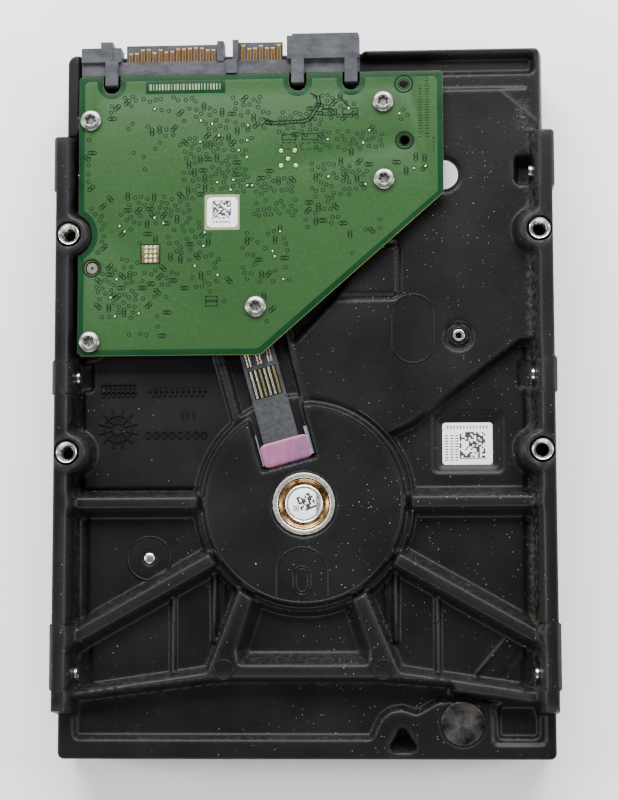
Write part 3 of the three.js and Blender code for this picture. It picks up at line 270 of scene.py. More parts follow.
def casting_face(x, y):
    """Height of the casting's outer face: each floor, rib, boss and recess is added in turn."""
    side = np.abs(x)
    from_spin = np.hypot(x - SPIN[0], y - SPIN[1])
    z = np.full(x.shape, Z_PANEL - 0.5)
    # Floors between the ribs, the low deck and the higher deck with its long slanting edge.
    for corner in (1, -1):
        near = outline_distance(x * corner, y, [(20, -24.6), (44.1, -24.6), (44.1, -45.2), (20, -32)])
        z = raised(z, near, Z_PANEL, 0.7)
    z = raised(z, outline_distance(x, y, [(-43.6, -34), (-16, -34), (-16, -60), (-43.2, -60)]), Z_PANEL, 0.7)
    z = raised(z, outline_distance(x, y, [(43.8, -34), (16, -34), (16, -60), (43.8, -60)]), Z_PANEL, 0.7)
    z = raised(z, box_distance(x, y, 0, 44.4, -24, 12, 0.6), Z_PANEL, 0.7)
    z = raised(z, outline_distance(x, y, [(-45.2, -19.6), (4, -19.6), (4, 0), (30, 40), (30, 71), (-49, 71),
                                          (-49, 54), (-45.2, 54)]), Z_LOW, 0.9)
    z = raised(z, outline_distance(x, y, [(17, -8.9), (21.8, -6.6), (43.9, 10.0), (48.6, 10.0), (48.6, 71),
                                          (12, 71), (21.6, 42.9), (6.5, 19.3), (-2.4, 9.7), (0.6, -2.7)]),
               Z_DECK, 1.5)
    z = raised(z, box_distance(x, y, -50, -46.1, 53, 71.5, 0.5), Z_DECK, 0.7)
    # Front wall, the trough behind it, and the shallow step beside the trough.
    z = sunk(z, box_distance(x, y, 11.4, 47.0, 65.4, 69.0, 1.2), Z_LOW - 0.9, 1.3)
    z = sunk(z, box_distance(x, y, 22, 45.5, 62.0, 66.3, 0.3), Z_DECK - 0.55, 0.5)
    z = sunk(z, outline_distance(x, y, [(20, 62.8), (39.0, 62.75), (48.6, 54.4), (60, 54.4), (60, 66),
                                        (20, 66)]),
             Z_DECK - 0.13, 0.2)
    z = sunk(z, box_distance(x, y, -45.9, 12.0, 63.7, 75, 0.4), Z_LOW - 0.8, 0.5)
    # Ribs with sloped sides.
    for s in (-1, 1):
        z = raised(z, bar_distance(x, y, 46.9 * s, -22.3, 19 * s, -22.3) - 1.95, Z_DISC, 2.3)
        z = raised(z, bar_distance(x, y, 46.9 * s, -49.6, 17.4 * s, -33.1) - 2.0, Z_DISC, 2.1)
        z = raised(z, bar_distance(x, y, 46.9 * s, -61.2, 17.4 * s, -56.9) - 1.5, Z_DISC, 1.3)
        z = raised(z, bar_distance(x, y, 18.2 * s, -35, 18.2 * s, -50) - 0.55, Z_PANEL + 1.2, 0.45)
        z = raised(z, bar_distance(x, y, 26.6 * s, -39, 26.6 * s, -57) - 0.5, Z_PANEL + 0.9, 0.45)
    z = raised(z, bar_distance(x, y, 40.3, -49.6, 34.3, -56.6) - 0.25, Z_PANEL + 0.5, 0.4)
    z = scored(z, bar_distance(x, y, 43.0, -52.1, 39.4, -57.4), 0.16, 0.25)
    # The block behind the motor, and its wide-walled pocket that the motor's round closes.
    z = raised(z, outline_distance(x, y, [(-12.4, -38), (-19.3, -55.9), (-18.6, -57.4), (18.0, -57.4),
                                          (18.9, -55.9), (11.4, -38)]) - 0.35, Z_DISC, 0.9)
    pocket = outline_distance(x, y, [(-8.6, -38), (-12.9, -51.8), (-12.6, -53.9), (12.1, -53.9),
                                     (12.3, -51.8), (7.8, -38)]) - 1.2
    z = sunk(z, pocket + 1.5, Z_PANEL, 3.1)
    # The collar and the raised round over the motor.
    z = raised(z, from_spin - 22.0, Z_DECK, 0.9)
    z = sunk(z, np.abs(from_spin - 21.0) - 0.35, Z_DECK - 0.35, 0.5)
    z = raised(z, from_spin - 20.15, Z_DISC, 0.85)
    # The channel of the flexible strip, with a ridge on each side of it.
    along, across = strip_place(x, y)
    z = sunk(z, np.maximum(np.abs(across - 0.6) - 5.6, -0.2 - along), Z_DISC - 1.75, 0.5)
    z = raised(z, np.maximum(np.abs(across + 7.35) - 0.95, 11.0 - along), Z_LOW + 1.5, 0.45)
    z = raised(z, np.maximum(np.abs(across - 7.0) - 0.6, 11.0 - along), Z_LOW + 1.5, 0.45)
    z = scored(z, np.where(along > 11, np.minimum(np.abs(across + 7.35), 9), 9), 0.3, 0.35)
    z = sunk(z, from_spin - 6.45, Z_DISC - 0.7, 0.2)
    z = sunk(z, from_spin - 5.35, Z_DISC - 2.3, 0.2)
    # Pad with a groove round it, the ramp screw's boss and the service pin's boss.
    pad = box_distance(x, y, 5.0, 18.7, 19.8, 29.6, 0.7)
    z = sunk(z, np.abs(pad - 0.55) - 0.45, Z_DECK - 0.65, 0.4)
    from_ramp = np.hypot(x - 31.3, y - 11.1)
    z = sunk(z, from_ramp - 2.95, Z_DECK - 0.6, 0.5)
    z = raised(z, from_ramp - 2.0, Z_DECK + 0.35, 0.6)
    z = sunk(z, from_ramp - 1.25, Z_DECK - 1.2, 0.25)
    from_pin = np.hypot(x + 31.6, y + 33.4)
    z = raised(z, from_pin - 3.9, z + 0.05, 0.6)
    z = sunk(z, from_pin - 1.2, Z_PANEL - 0.4, 0.15)
    seal = np.hypot(x - 28.5, y - 44.1)
    z = sunk(z, seal - 3.6, Z_DECK - 0.45, 0.3)
    z = raised(z, seal - 3.0, Z_DECK, 0.25)
    # Stepped recess of the square tag.
    z = sunk(z, box_distance(x, y, 25.8, 40.2, -16.4, -4.2, 1.3), Z_PANEL - 0.3, 0.5)
    z = sunk(z, box_distance(x, y, 26.8, 39.2, -15.5, -5.1, 1.0), Z_PANEL - 0.55, 0.4)
    z = sunk(z, box_distance(x, y, 27.5, 38.3, -15.0, -6.0, 0.7), Z_PANEL - 0.82, 0.3)
    # Rear edge: its rim, the sunk floor, the drain hole, the foil seal's groove and the corner pocket.
    z = raised(z, np.maximum(y + 61.9, -y - 90), Z_PANEL + 0.8, 1.2)
    rear_floor = outline_distance(x, y, [(-45.6, -68.3), (12.6, -68.3), (13.4, -66.3), (14.6, -64.3),
                                         (16.8, -62.8), (19.4, -62.4), (22.2, -63.3), (28.6, -59.6),
                                         (18.4, -58.8), (-18.8, -58.8), (-45.6, -62.2)])
    z = sunk(z, rear_floor - 0.9, Z_SUNK, 1.3)
    drain = outline_distance(x, y, [(17.9, -71.1), (21.2, -71.1), (19.4, -68.3)]) - 0.75
    z = scored(z, drain - 0.35, 0.25, -0.12)
    z = sunk(z, drain, Z_SUNK - 1.5, 0.5)
    from_foil = np.hypot(x - 31.4, y + 66.4)
    z = scored(z, from_foil - 4.55, 0.2, 0.3)
    z = scored(z, from_foil - 4.95, 0.18, -0.1)
    z = sunk(z, box_distance(x, y, 37.3, 47.9, -70.6, -62.4, 1.2), Z_PANEL + 0.25, 0.5)
    z = sunk(z, box_distance(x, y, 38.6, 46.4, -69.2, -62.9, 0.9), Z_SUNK, 0.7)
    # Rails, swelling round the four threaded holes, with a pocket behind each side thread.
    near = 46.75 - side
    for hole_y in BOTTOM_HOLES:
        near = merged(near, np.hypot(side - 47.32, y - hole_y) - 4.3, 1.6)
    ends = wall(np.abs(y - (RAIL_REAR + RAIL_FRONT) / 2) - (RAIL_FRONT - RAIL_REAR) / 2 + 0.2, 0.5)
    z = z + np.maximum(Z_RAIL - z, 0) * wall(near, 2.1) * ends
    for hole_y in SIDE_HOLES:
        z = sunk(z, box_distance(side, y, 43.3, 46.5, hole_y - 2.75, hole_y + 2.75, 0.8), Z_PANEL - 0.6, 0.5)
    for screw_x, screw_y in BOARD_SCREWS:
        z = raised(z, np.hypot(x - screw_x, y - screw_y) - 2.9, Z_DISC + 0.2, 0.6)
    for hole_y in BOTTOM_HOLES:
        z = sunk(z, np.hypot(side - RAIL_HOLE_X, y - hole_y) - 2.2, Z_PANEL + 0.2, 0.25)
    # Side pads stop just short of the rails' faces, and the outer edges are round.
    z = np.where(side > 50.36, np.minimum(z, Z_RAIL - 0.6), z)
    edge = np.minimum(casting_half_width(y) - side, np.minimum(y - REAR, FRONT_EDGE - y))
    return z - 0.4 * (1 - np.sqrt(1 - np.clip(1 - edge / 0.5, 0, 1) ** 2))


def casting_chamber(x, y):
    """Height of the hollow side: the platter's round, the arm's room beside it and the motor's well."""
    z = np.full(x.shape, 2.2)
    from_spin = np.hypot(x - SPIN[0], y - SPIN[1])
    z = raised(z, from_spin - 48.6, 10.6, 0.25)
    z = raised(z, outline_distance(x, y, [(-45.3, 19.4), (-36.2, 19.4), (-30.2, 10.8), (34.2, 7.8),
                                          (43.5, 17.8), (43.5, 59.2), (38.4, 64.3), (-39.2, 64.3),
                                          (-45.3, 58.2)]), 12.2, 0.4)
    return raised(z, from_spin - 16.9, 14.2, 0.4)


def grid_quads(number, up=True):
    """Four-sided faces over a grid of point numbers, wound to face up or down."""
    a, b, c, d = number[:-1, :-1], number[:-1, 1:], number[1:, 1:], number[1:, :-1]
    return np.stack([a, b, c, d] if up else [a, d, c, b], -1).reshape(-1, 4).tolist()


def ring_quads(lower, upper):
    """Four-sided faces between rings of point numbers and the rings after them, once round each."""
    return np.stack([lower, np.roll(lower, -1, 1), np.roll(upper, -1, 1), upper], -1).reshape(-1, 4)


def border(grid):
    """A grid's own edge, once round it."""
    return np.r_[grid[0, :-1], grid[:-1, -1], grid[-1, :0:-1], grid[:0:-1, 0]]


def casting_mesh():
    """A closed shell: the fine outer face, walls down its edge with round side holes, and the hollow side."""
    edge_steps = np.array([0, 0.07, 0.18, 0.34, 0.55, 0.8])
    across = np.r_[edge_steps - BODY_HALF, np.linspace(-49.25, 49.25, 353),
                   BODY_HALF - edge_steps[::-1]] / BODY_HALF
    end_steps = np.array([0, 0.05, 0.14, 0.28, 0.46, 0.7, 0.98])
    rows = np.r_[REAR + end_steps, np.linspace(REAR + 1.26, FRONT_EDGE - 1.26, 499),
                 FRONT_EDGE - end_steps[::-1]]
    x = across[None, :] * casting_half_width(rows)[:, None]
    y = np.repeat(rows[:, None], len(across), axis=1)
    z = casting_face(x, y)
    z[1:-1] = 0.25 * z[:-2] + 0.5 * z[1:-1] + 0.25 * z[2:]
    z[:, 1:-1] = 0.25 * z[:, :-2] + 0.5 * z[:, 1:-1] + 0.25 * z[:, 2:]
    last_row, last_column = z.shape[0] - 1, z.shape[1] - 1
    number = np.arange(z.size).reshape(z.shape)
    faces = [grid_quads(number)]
    points = [np.c_[x.ravel(), y.ravel(), z.ravel()]]

    # Walls down from the edge. The pads end above the walls' lower part.
    edge = points[0][border(number)]
    levels = [15.85, 14.85, SIDE_HOLE_Z, 12.85, 11.85, 10.65, 10.35, 5.5, 2.7]
    walls = [border(number)]
    for step, level in enumerate(levels):
        lower = edge.copy()
        lower[:, 2] = np.minimum(level, edge[:, 2] - 0.25 - 0.03 * step)
        if level < 10.5:
            lower[:, 0] = np.clip(lower[:, 0], -BODY_HALF, BODY_HALF)
        walls.append(len(np.concatenate(points)) + np.arange(len(lower)))
        points.append(lower)
    walls = np.array(walls)
    after = np.roll(walls, -1, axis=1)
    open_wall = np.ones((len(levels), walls.shape[1]), bool)
    side_loops = []
    for hole_y in SIDE_HOLES:
        low, high = (np.abs(rows - hole_y - reach).argmin() for reach in (-1.9, 1.9))
        right = last_column + np.arange(low, high + 1)
        left = 2 * last_column + last_row + last_row - np.arange(low, high + 1)[::-1]
        for sign, run in ((1, right), (-1, left)):
            open_wall[1:5, run[:-1]] = False
            loop = np.r_[walls[1, run], walls[2:5, run[-1]], walls[5, run[::-1]], walls[4:1:-1, run[0]]]
            side_loops.append((sign, hole_y, loop))
    for level in range(len(levels)):
        keep = open_wall[level]
        faces.append(np.c_[walls[level], walls[level + 1], after[level + 1], after[level]][keep].tolist())
    every = np.concatenate(points)
    for sign, hole_y, loop in side_loops:
        turn = np.arctan2(every[loop, 2] - SIDE_HOLE_Z, every[loop, 1] - hole_y)
        rings = [loop]
        for ring_x, radius in ((50.78, 1.62), (50.5, 1.5), (46.75, 1.5)):
            ring = np.c_[np.full(len(loop), sign * ring_x), hole_y + radius * np.cos(turn),
                         SIDE_HOLE_Z + radius * np.sin(turn)]
            rings.append(len(every) + np.arange(len(loop)))
            every = np.concatenate([every, ring])
        for outer, inner in zip(rings[:-1], rings[1:]):
            quads = np.c_[outer, np.roll(outer, -1), np.roll(inner, -1), inner]
            faces.append((quads[:, ::-1]).tolist())
        faces.append([rings[-1][::-1].tolist()])
    # The hollow side on every second row and column, joined to the walls' foot.
    stride = 2
    coarse = number[::stride, ::stride]
    hollow = np.c_[x[::stride, ::stride].ravel(), y[::stride, ::stride].ravel()]
    hollow[:, 0] = np.clip(hollow[:, 0], -BODY_HALF, BODY_HALF)
    hollow = np.c_[hollow, casting_chamber(hollow[:, 0], hollow[:, 1])]
    low = len(every) + np.arange(coarse.size).reshape(coarse.shape)
    every = np.concatenate([every, hollow])
    faces.append(grid_quads(low, up=False))
    foot = border(low)
    upper = np.r_[walls[-1], walls[-1][:1]]
    strips = np.array([upper[start:start + stride + 1] for start in range(0, len(upper) - 1, stride)])
    faces.append(np.c_[strips[:, ::-1], foot, np.roll(foot, -1)].tolist())
    return every, [face for group in faces for face in group], (across, rows, z)


def softened(height, cells):
    """Each height averaged with those around it, twice, over a square of cells."""
    for _ in range(2):
        for axis in (0, 1):
            padded = np.pad(height, [(cells + 1, cells) if a == axis else (0, 0) for a in (0, 1)],
                            mode="edge")
            total = np.cumsum(padded, axis=axis)
            span = 2 * cells + 1
            upper = np.take(total, range(span, total.shape[axis]), axis=axis)
            lower = np.take(total, range(0, total.shape[axis] - span), axis=axis)
            height = (upper - lower) / span
    return height


def thinned(mesh, share):
    """The same shape with fewer faces, most of them taken from the flat floors."""
    holder = bpy.data.objects.new("holder", mesh)
    bpy.context.scene.collection.objects.link(holder)
    modifier = holder.modifiers.new("thin", "DECIMATE")
    modifier.ratio = share
    result = bpy.data.meshes.new_from_object(holder.evaluated_get(bpy.context.evaluated_depsgraph_get()))
    bpy.data.objects.remove(holder)
    return result


black_coat, tree, shader, place = new_finish("black_casting_coat", (0.011, 0.011, 0.012), 0.42)
shader.inputs["Specular IOR Level"].default_value = 0.17
relief = add_node(tree, "Attribute", attribute_name="relief").outputs["Fac"]
dust_and_lit_slope = add_node(tree, "Attribute", attribute_name="dust_and_lit_slope").outputs["Fac"]
cloud = noise(tree, place, 70.0, 4.0)
grain = noise(tree, place, 2600.0, 3.0)
coat = blend(tree, stretch(tree, cloud, 0.3, 0.7), (0.0028, 0.0028, 0.0031), (0.0055, 0.0055, 0.0056))
# Ridges, where the relief is high, are painted lighter: a painted highlight along the round edges, partly the
# coat worn thin there.
coat = blend(tree, stretch(tree, relief, 0.2, 1.1), coat, (0.013, 0.013, 0.014))
# Dust colour laid where the dust map is high: real dust in the hollows, and painted light on slopes facing
# the back softbox and on the right rail's inner wall.
dust_and_lit_slope_fluff = sums(tree, "MULTIPLY", noise(tree, place, 3600.0, 5.0, 0.75), noise(tree, place, 1000.0, 3.0))
dust_and_lit_slope_fluff = stretch(tree, dust_and_lit_slope_fluff, 0.22, 0.36)
dust_and_lit_slope_fluff = sums(tree, "MULTIPLY", dust_and_lit_slope_fluff, dust_and_lit_slope, clamp=True)
coat = blend(tree, dust_and_lit_slope_fluff, coat, (0.056, 0.049, 0.040))
for scale, share, size, patch in ((520.0, 0.80, 0.075, 130.0), (980.0, 0.62, 0.10, 60.0),
                                  (1700.0, 0.62, 0.15, 30.0)):
    cells = add_node(tree, "TexVoronoi", {"Vector": place, "Scale": scale})
    picked = add_node(tree, "SeparateColor", {"Color": cells.outputs["Color"]})
    spot = sums(tree, "LESS_THAN", cells.outputs["Distance"], sums(tree, "MULTIPLY", picked.outputs[1], size))
    spot = sums(tree, "MULTIPLY", spot, sums(tree, "GREATER_THAN", picked.outputs[0], share))
    spot = sums(tree, "MULTIPLY", spot, stretch(tree, noise(tree, place, patch, 2.0), 0.42, 0.62))
    coat = blend(tree, sums(tree, "MULTIPLY", spot, 0.75), coat, (0.42, 0.39, 0.34))
paint(tree, shader, "Base Color", coat)
gloss = stretch(tree, cloud, 0.3, 0.7, 0.36, 0.46)
gloss = sums(tree, "ADD", gloss, sums(tree, "MULTIPLY", dust_and_lit_slope_fluff, 0.5), clamp=True)
paint(tree, shader, "Roughness", gloss)
emboss(tree, shader, sums(tree, "ADD", grain, sums(tree, "MULTIPLY", dust_and_lit_slope_fluff, 2.0)), 0.000035)

casting_points, casting_faces, (casting_across, casting_rows, casting_z) = casting_mesh()
casting_data = bpy.data.meshes.new("base_casting_shell")
casting_data.from_pydata(casting_points * 0.001, [], casting_faces)
casting_data = thinned(casting_data, 0.41)
# Height above the softened surface: high on ridges, where it drives the painted edge highlight, and low in
# hollows, where it lays dust.
valley = casting_z - softened(casting_z, 4)
# fall is high on slopes that face the back softbox at +y. The dust colour laid on them is a painted lit side,
# partly real dust.
fall = -np.gradient(casting_z, axis=0) / 0.285
# A band on the right rail's inner wall only: painted light for that wall lit from the left, partly real dust.
rail_slope = np.exp(-((casting_across[None, :] * BODY_HALF
                       - 46.4) / 1.1) ** 2) * (np.abs(casting_rows[:, None]) < 60)
dust_and_lit_slope_map = np.clip(fall * 0.13, 0, 0.24) + np.clip(-valley * 0.25 - 0.1, 0, 0.2) + 0.55 * rail_slope
spots = np.empty(len(casting_data.vertices) * 3)
casting_data.vertices.foreach_get("co", spots)
spots = spots.reshape(-1, 3) * 1000
row = np.clip(np.searchsorted(casting_rows, spots[:, 1]), 0, len(casting_rows) - 1)
column = np.clip(np.searchsorted(casting_across, spots[:, 0] / casting_half_width(spots[:, 1])), 0,
                 len(casting_across) - 1)
on_face = (spots[:, 2] > 11.5) & (np.abs(casting_z[row, column] - spots[:, 2]) < 1.5)
for map_name, map_values in (("relief", valley), ("dust_and_lit_slope", np.clip(dust_and_lit_slope_map, 0, 1))):
    layer = casting_data.attributes.new(map_name, "FLOAT", "POINT")
    layer.data.foreach_set("value", np.where(on_face, map_values[row, column], 0).astype(np.float32))
finish_piece("base_casting_shell", casting_data, black_coat, "housing", 42.0, "base_casting")

# ---- Marks cast in the base ----------------------------------------------------------------------
# The die leaves shallow raised lines and blocks: outlines of plugs and pins, a block grid, a ruled scale and
# a dated wheel, here without its figures.


def arc_points(cx, cy, radius, start, end, count):
    """Points along part of a circle, in degrees."""
    turn = np.radians(np.linspace(start, end, count + 1))
    return [(cx + radius * np.cos(t), cy + radius * np.sin(t)) for t in turn]


def circle(x, y, radius, count=28):
    """A closed circle of points."""
    return arc_points(x, y, radius, 0, 360 * (1 - 1 / count), count - 1)


def flat_blocks(boxes, low, high, taper=0.0):
    """Thin blocks on one height. Each is a centre, a length, a width and a turn in degrees, and the taper is
    how much its top draws in on every side."""
    cx, cy, length, width, turn = np.asarray(boxes, float).T
    turn = np.radians(turn)
    ahead, aside = np.stack([np.cos(turn), np.sin(turn)], -1), np.stack([-np.sin(turn), np.cos(turn)], -1)
    along, across = ahead * length[:, None] / 2, aside * width[:, None] / 2
    centre = np.stack([cx, cy], -1)
    corners = np.stack([centre - along - across, centre + along - across, centre + along + across,
                        centre - along + across], 1)
    ahead, aside = ahead * taper, aside * taper
    inward = np.stack([ahead + aside, aside - ahead, -ahead - aside, ahead - aside], 1)
    low, high = np.broadcast_to(low, len(cx)), np.broadcast_to(high, len(cx))
    below = np.concatenate([corners, np.repeat(low[:, None, None], 4, 1)], -1)
    above = np.concatenate([corners + inward, np.repeat(high[:, None, None], 4, 1)], -1)
    points = np.concatenate([below, above], 1).reshape(-1, 3)
    one = np.array([[3, 2, 1, 0], [4, 5, 6, 7], [0, 1, 5, 4], [1, 2, 6, 5], [2, 3, 7, 6], [3, 0, 4, 7]])
    return points, (one[None] + 8 * np.arange(len(cx))[:, None, None]).reshape(-1, 4).tolist()


def lines(path_list, width):
    """The blocks for straight runs: each path's points are joined in turn."""
    boxes = []
    for path in path_list:
        for (ax, ay), (bx, by) in zip(path[:-1], path[1:]):
            boxes.append(((ax + bx) / 2, (ay + by) / 2, np.hypot(bx - ax, by - ay) + width * 0.8, width,
                          np.degrees(np.arctan2(by - ay, bx - ax))))
    return boxes


def beads(paths, width, height, base):
    """Rounded ridges along paths on one height. A path that ends where it starts is closed; the height across
    a ridge follows a half sine."""
    section = np.array([(-0.5, -0.06), (-0.32, 0.6), (-0.12, 0.95), (0.12, 0.95), (0.32, 0.6), (0.5, -0.06)])
    groups, faces, start = [], [], 0
    for path in paths:
        path = np.asarray(path, float)
        closed = np.hypot(*(path[0] - path[-1])) < 1e-6
        if closed:
            path = path[:-1]
            step = np.roll(path, -1, axis=0) - np.roll(path, 1, axis=0)
        else:
            step = np.gradient(path, axis=0)
        step = step / np.hypot(step[:, 0], step[:, 1])[:, None]
        side = np.stack([-step[:, 1], step[:, 0]], -1)
        flat_points = path[:, None, :] + side[:, None, :] * section[None, :, :1] * width
        level = np.broadcast_to(base + section[:, 1] * height, flat_points.shape[:2])
        groups.append(np.concatenate([flat_points, level[..., None]], -1).reshape(-1, 3))
        number = start + np.arange(len(path) * 6).reshape(-1, 6)
        ahead = np.roll(number, -1, axis=0) if closed else number[1:]
        here = number if closed else number[:-1]
        faces += ring_quads(here, ahead).tolist()
        if not closed:
            faces += [number[0].tolist(), number[-1, ::-1].tolist()]
        start += len(path) * 6
    return np.concatenate(groups), faces


def turn_outward(mesh):
    """Points every face of a closed mesh outwards."""
    shape = bmesh.new()
    shape.from_mesh(mesh)
    bmesh.ops.recalc_face_normals(shape, faces=shape.faces)
    shape.to_mesh(mesh)
    shape.free()


def mark_piece(name, points, faces):
    """One group of raised marks, coated like the casting."""
    piece = make_piece(name, points, faces, black_coat, "housing", 50, slot="black_cast_aluminium")
    turn_outward(piece.data)


def long_ring(x, y, half, radius):
    """A closed outline with straight sides and round ends, upright."""
    front = arc_points(x, y + half, radius, 0, 180, 20)
    rear = arc_points(x, y - half, radius, 180, 360, 20)
    return front + rear + [(x + radius, y + half)]


arch = [(-5.55, y) for y in np.linspace(-41.2, -37, 5)] + arc_points(-0.4, -36.5, 5.15, 180, 0, 28)
arch += [(4.75, y) for y in np.linspace(-37, -41.2, 5)]
round_rings = [long_ring(-0.4, -38.0, 1.1, radius) for radius in (1.75, 1.15)]
mark_piece("marks_on_round", *beads([arch] + round_rings, 0.46, 0.2, Z_DISC))
mark_piece("edge_of_round", *beads([arc_points(SPIN[0], SPIN[1], 19.7, 124.5, 446, 300)], 0.55, 0.16,
                                   Z_DISC - 0.02))
mark_piece("edge_of_collar", *beads([arc_points(SPIN[0], SPIN[1], 21.75, -18, 60, 80)], 0.5, 0.16,
                                    Z_DECK - 0.02))
mark_piece("marks_on_deck", *beads([long_ring(22.1, 12.7, 2.7, 4.3)], 0.46, 0.2, Z_DECK))
mark_piece("marks_on_rib", *beads([arc_points(x, -55.6, 1.9, 0, 360, 36) for x in (-16.1, 15.8)], 0.36, 0.15,
                                  Z_DISC))
pin_rings = [arc_points(-31.6, -33.4, 4.4, 0, 360, 60)]
mark_piece("marks_round_pin", *beads(pin_rings, 0.6, 0.24, Z_PANEL))
wheel_rings = [arc_points(-38.0, -7.1, r, 0, 360, 40) for r in (2.75, 1.15)]
wheel_lines = [[(-38.0 + r * np.cos(t), -7.1 + r * np.sin(t)) for r in (1.3, 2.6, 4.1)]
               for t in np.radians(np.arange(15, 375, 30))]
row_rings = [[(x + 0.5 * np.cos(t), -8.4 + 0.72 * np.sin(t)) for t in np.linspace(0, 2 * np.pi, 25)]
             for x in np.arange(-31.8, -20.2, 1.62)]
row_rings += [[(x, -5.2), (x, -4.4), (x, -3.6)] for x in (-24.9, -23.9, -22.5)]
mark_piece("marks_on_panel", *beads(wheel_rings + wheel_lines + row_rings, 0.44, 0.32, Z_LOW))
blocks = [(x, y, 0.78, 0.62, 0) for x in np.arange(-41.0, -34.2, 1.0) for y in (-0.35, 0.6, 1.25, 2.1)]
blocks += [(-37.9, 0.13, 7.8, 0.16, 0), (-37.9, 1.68, 7.8, 0.16, 0)]
blocks += [(x, 0.45, 0.62, 2.1, 0) for x in np.arange(-30.8, -20.3, 1.12)] + [(-25.7, 0.45, 12.4, 0.2, 0)]
mark_piece("block_marks_on_panel", *flat_blocks(blocks, Z_LOW - 0.02, Z_LOW + 0.3, 0.1))

# ---- Threads, ramp screw and service pin ---------------------------------------------------------
# The four threads in the rails and the six in the sides are cut after coating, so their metal is bright.
# A small screw with a tube end holds the parking ramp, and a plain domed pin closes the service hole.


def turned(name, profile, centre, finish, body, steps=48, axis="Z", ring=True, thread=None, node=None,
           slot=None):
    """A profile of radius and height carried once round an axis. A thread moves the radius in and out with
    the turn plus the height over its pitch. A ring's profile is closed on itself, others end on the axis."""
    radius, height = np.asarray(profile, float).T
    turn = np.linspace(0, 2 * np.pi, steps, endpoint=False)
    reach = np.repeat(radius[:, None], steps, axis=1)
    if thread:
        pitch, depth, low, high = thread
        wave = np.abs((height[:, None] / pitch + turn / (2 * np.pi)) % 1 * 2 - 1) - 0.5
        cut = (height > low) & (height < high)
        reach = reach + depth * wave * cut[:, None]
    flat = np.stack([reach * np.cos(turn), reach * np.sin(turn), np.repeat(height[:, None], steps, axis=1)],
                    -1)
    if axis == "X":
        flat = flat[..., [2, 0, 1]]
    elif axis == "-X":
        flat = flat[..., [2, 1, 0]] * (-1, 1, 1)
    points = flat.reshape(-1, 3) + np.asarray(centre)
    number = np.arange(len(points)).reshape(len(radius), steps)
    upper = np.roll(number, -1, axis=0) if ring else number[1:]
    lower = number if ring else number[:-1]
    faces = ring_quads(lower, upper).tolist()
    if not ring:
        faces += [number[0, ::-1].tolist(), number[-1].tolist()]
    turn_outward(make_piece(name, points, faces, finish, body, 40.0, node, slot).data)


bare_metal, tree, shader, place = new_finish("bare_cut_aluminium", (0.62, 0.62, 0.60), 0.24, 1.0)
turning = noise(tree, along_grain(tree, place, (300.0, 300.0, 9000.0)), 1.0, 2.0)
paint(tree, shader, "Roughness", stretch(tree, turning, 0.3, 0.7, 0.16, 0.34))
paint(tree, shader, "Base Color", blend(tree, noise(tree, place, 900.0, 4.0), (0.50, 0.48, 0.45),
                                        (0.72, 0.72, 0.71)))
emboss(tree, shader, turning, 0.00001)

thread_heights = np.linspace(13.9, 19.35, 70)
for number, (hole_x, hole_y) in enumerate([(x, y) for x in (-RAIL_HOLE_X, RAIL_HOLE_X) for y in BOTTOM_HOLES],
                                          1):
    inner = [(1.42, h) for h in thread_heights]
    profile = inner + [(1.46, 19.5), (1.9, 20.08), (1.98, 20.17), (2.1, 20.19), (2.16, 20.12), (2.16, 13.9)]
    turned(f"rail_thread_{number}", profile, (hole_x, hole_y, 0), bare_metal, "housing", 48,
           thread=(THREAD_PITCH, 0.22, 14.0, 19.3))
thread_depths = np.linspace(0, 3.4, 44)
exit_x = 45.95
for side_name, sign, axis in (("left", -1, "-X"), ("right", 1, "X")):
    for number, hole_y in enumerate(SIDE_HOLES, 1):
        profile = [(1.36, 46.95 + d) for d in thread_depths] + [(1.4, 50.42), (1.47, 50.5), (1.47, 46.9)]
        turned(f"{side_name}_thread_{number}", profile, (0, hole_y, SIDE_HOLE_Z), bare_metal, "housing", 40,
               axis, thread=(THREAD_PITCH, 0.2, 47.0, 50.35))
        turned(f"{side_name}_thread_end_{number}",
               [(0.95, exit_x), (1.3, exit_x - 0.06), (1.45, exit_x + 0.02),
                                                    (1.45, exit_x + 0.5), (0.95, exit_x + 0.5)],
               (0, hole_y, SIDE_HOLE_Z), bare_metal, "housing", 32, axis)
turned("ramp_screw_tube", [(0.62, 14.9), (0.62, 16.35), (0.72, 16.5), (0.98, 16.56), (1.18, 16.48),
                           (1.25, 16.3), (1.25, 14.9)], (31.3, 11.1, 0), bare_metal, "housing", 40,
                           node="ramp_screw", slot="bright_screw_steel")
dome = [(1.12 * np.cos(t), 13.5 + 0.32 * np.sin(t)) for t in np.linspace(0, 1.5, 12)]
turned("service_pin_dome", [(1.12, 12.9)] + dome, (-31.6, -33.4, 0), bare_metal, "housing", 32, ring=False,
       node="service_pin", slot="bright_screw_steel")

# ---- Circuit board -------------------------------------------------------------------------------
# A glass fibre board, green on both sides, with one slanted edge and a round notch at the left rail's boss.
# Its copper stops short of the edge, which leaves a dark border, and small plated holes join its two sides.
Z_BOARD, Z_BOARD_TOP = 17.7, 18.6
rng = np.random.default_rng(41)


def board_outline(inset=0.0):
    """The board's edge, drawn in by the inset: three slots in front, the notch at the left and the slant."""
    left, right, front, rear = -45.85 + inset, 28.5 - inset, 65.195 - inset, 7.395 + inset
    slant = inset * 0.42
    points = [(left, rear + 0.6), (left + 0.6, rear), (-9.0 - slant, rear), (-8.3 - slant, rear + 0.3),
              (right, 40.1 + slant * 0.5), (right, front - 0.6), (right - 0.6, front)]
    for slot_x in (9.9, -1.0, -39.2):
        points += [(slot_x + 1.8 + inset, front)]
        points += arc_points(slot_x, 63.295, 1.8 + inset, 0, -180, 14) + [(slot_x - 1.8 - inset, front)]
    points += [(left + 0.6, front), (left, front - 0.6)]
    reach = 4.6 + inset
    half = np.degrees(np.arccos(np.clip((left + RAIL_HOLE_X) / reach, -1, 1)))
    return points + arc_points(-RAIL_HOLE_X, 32.215, reach, half, -half, 16)


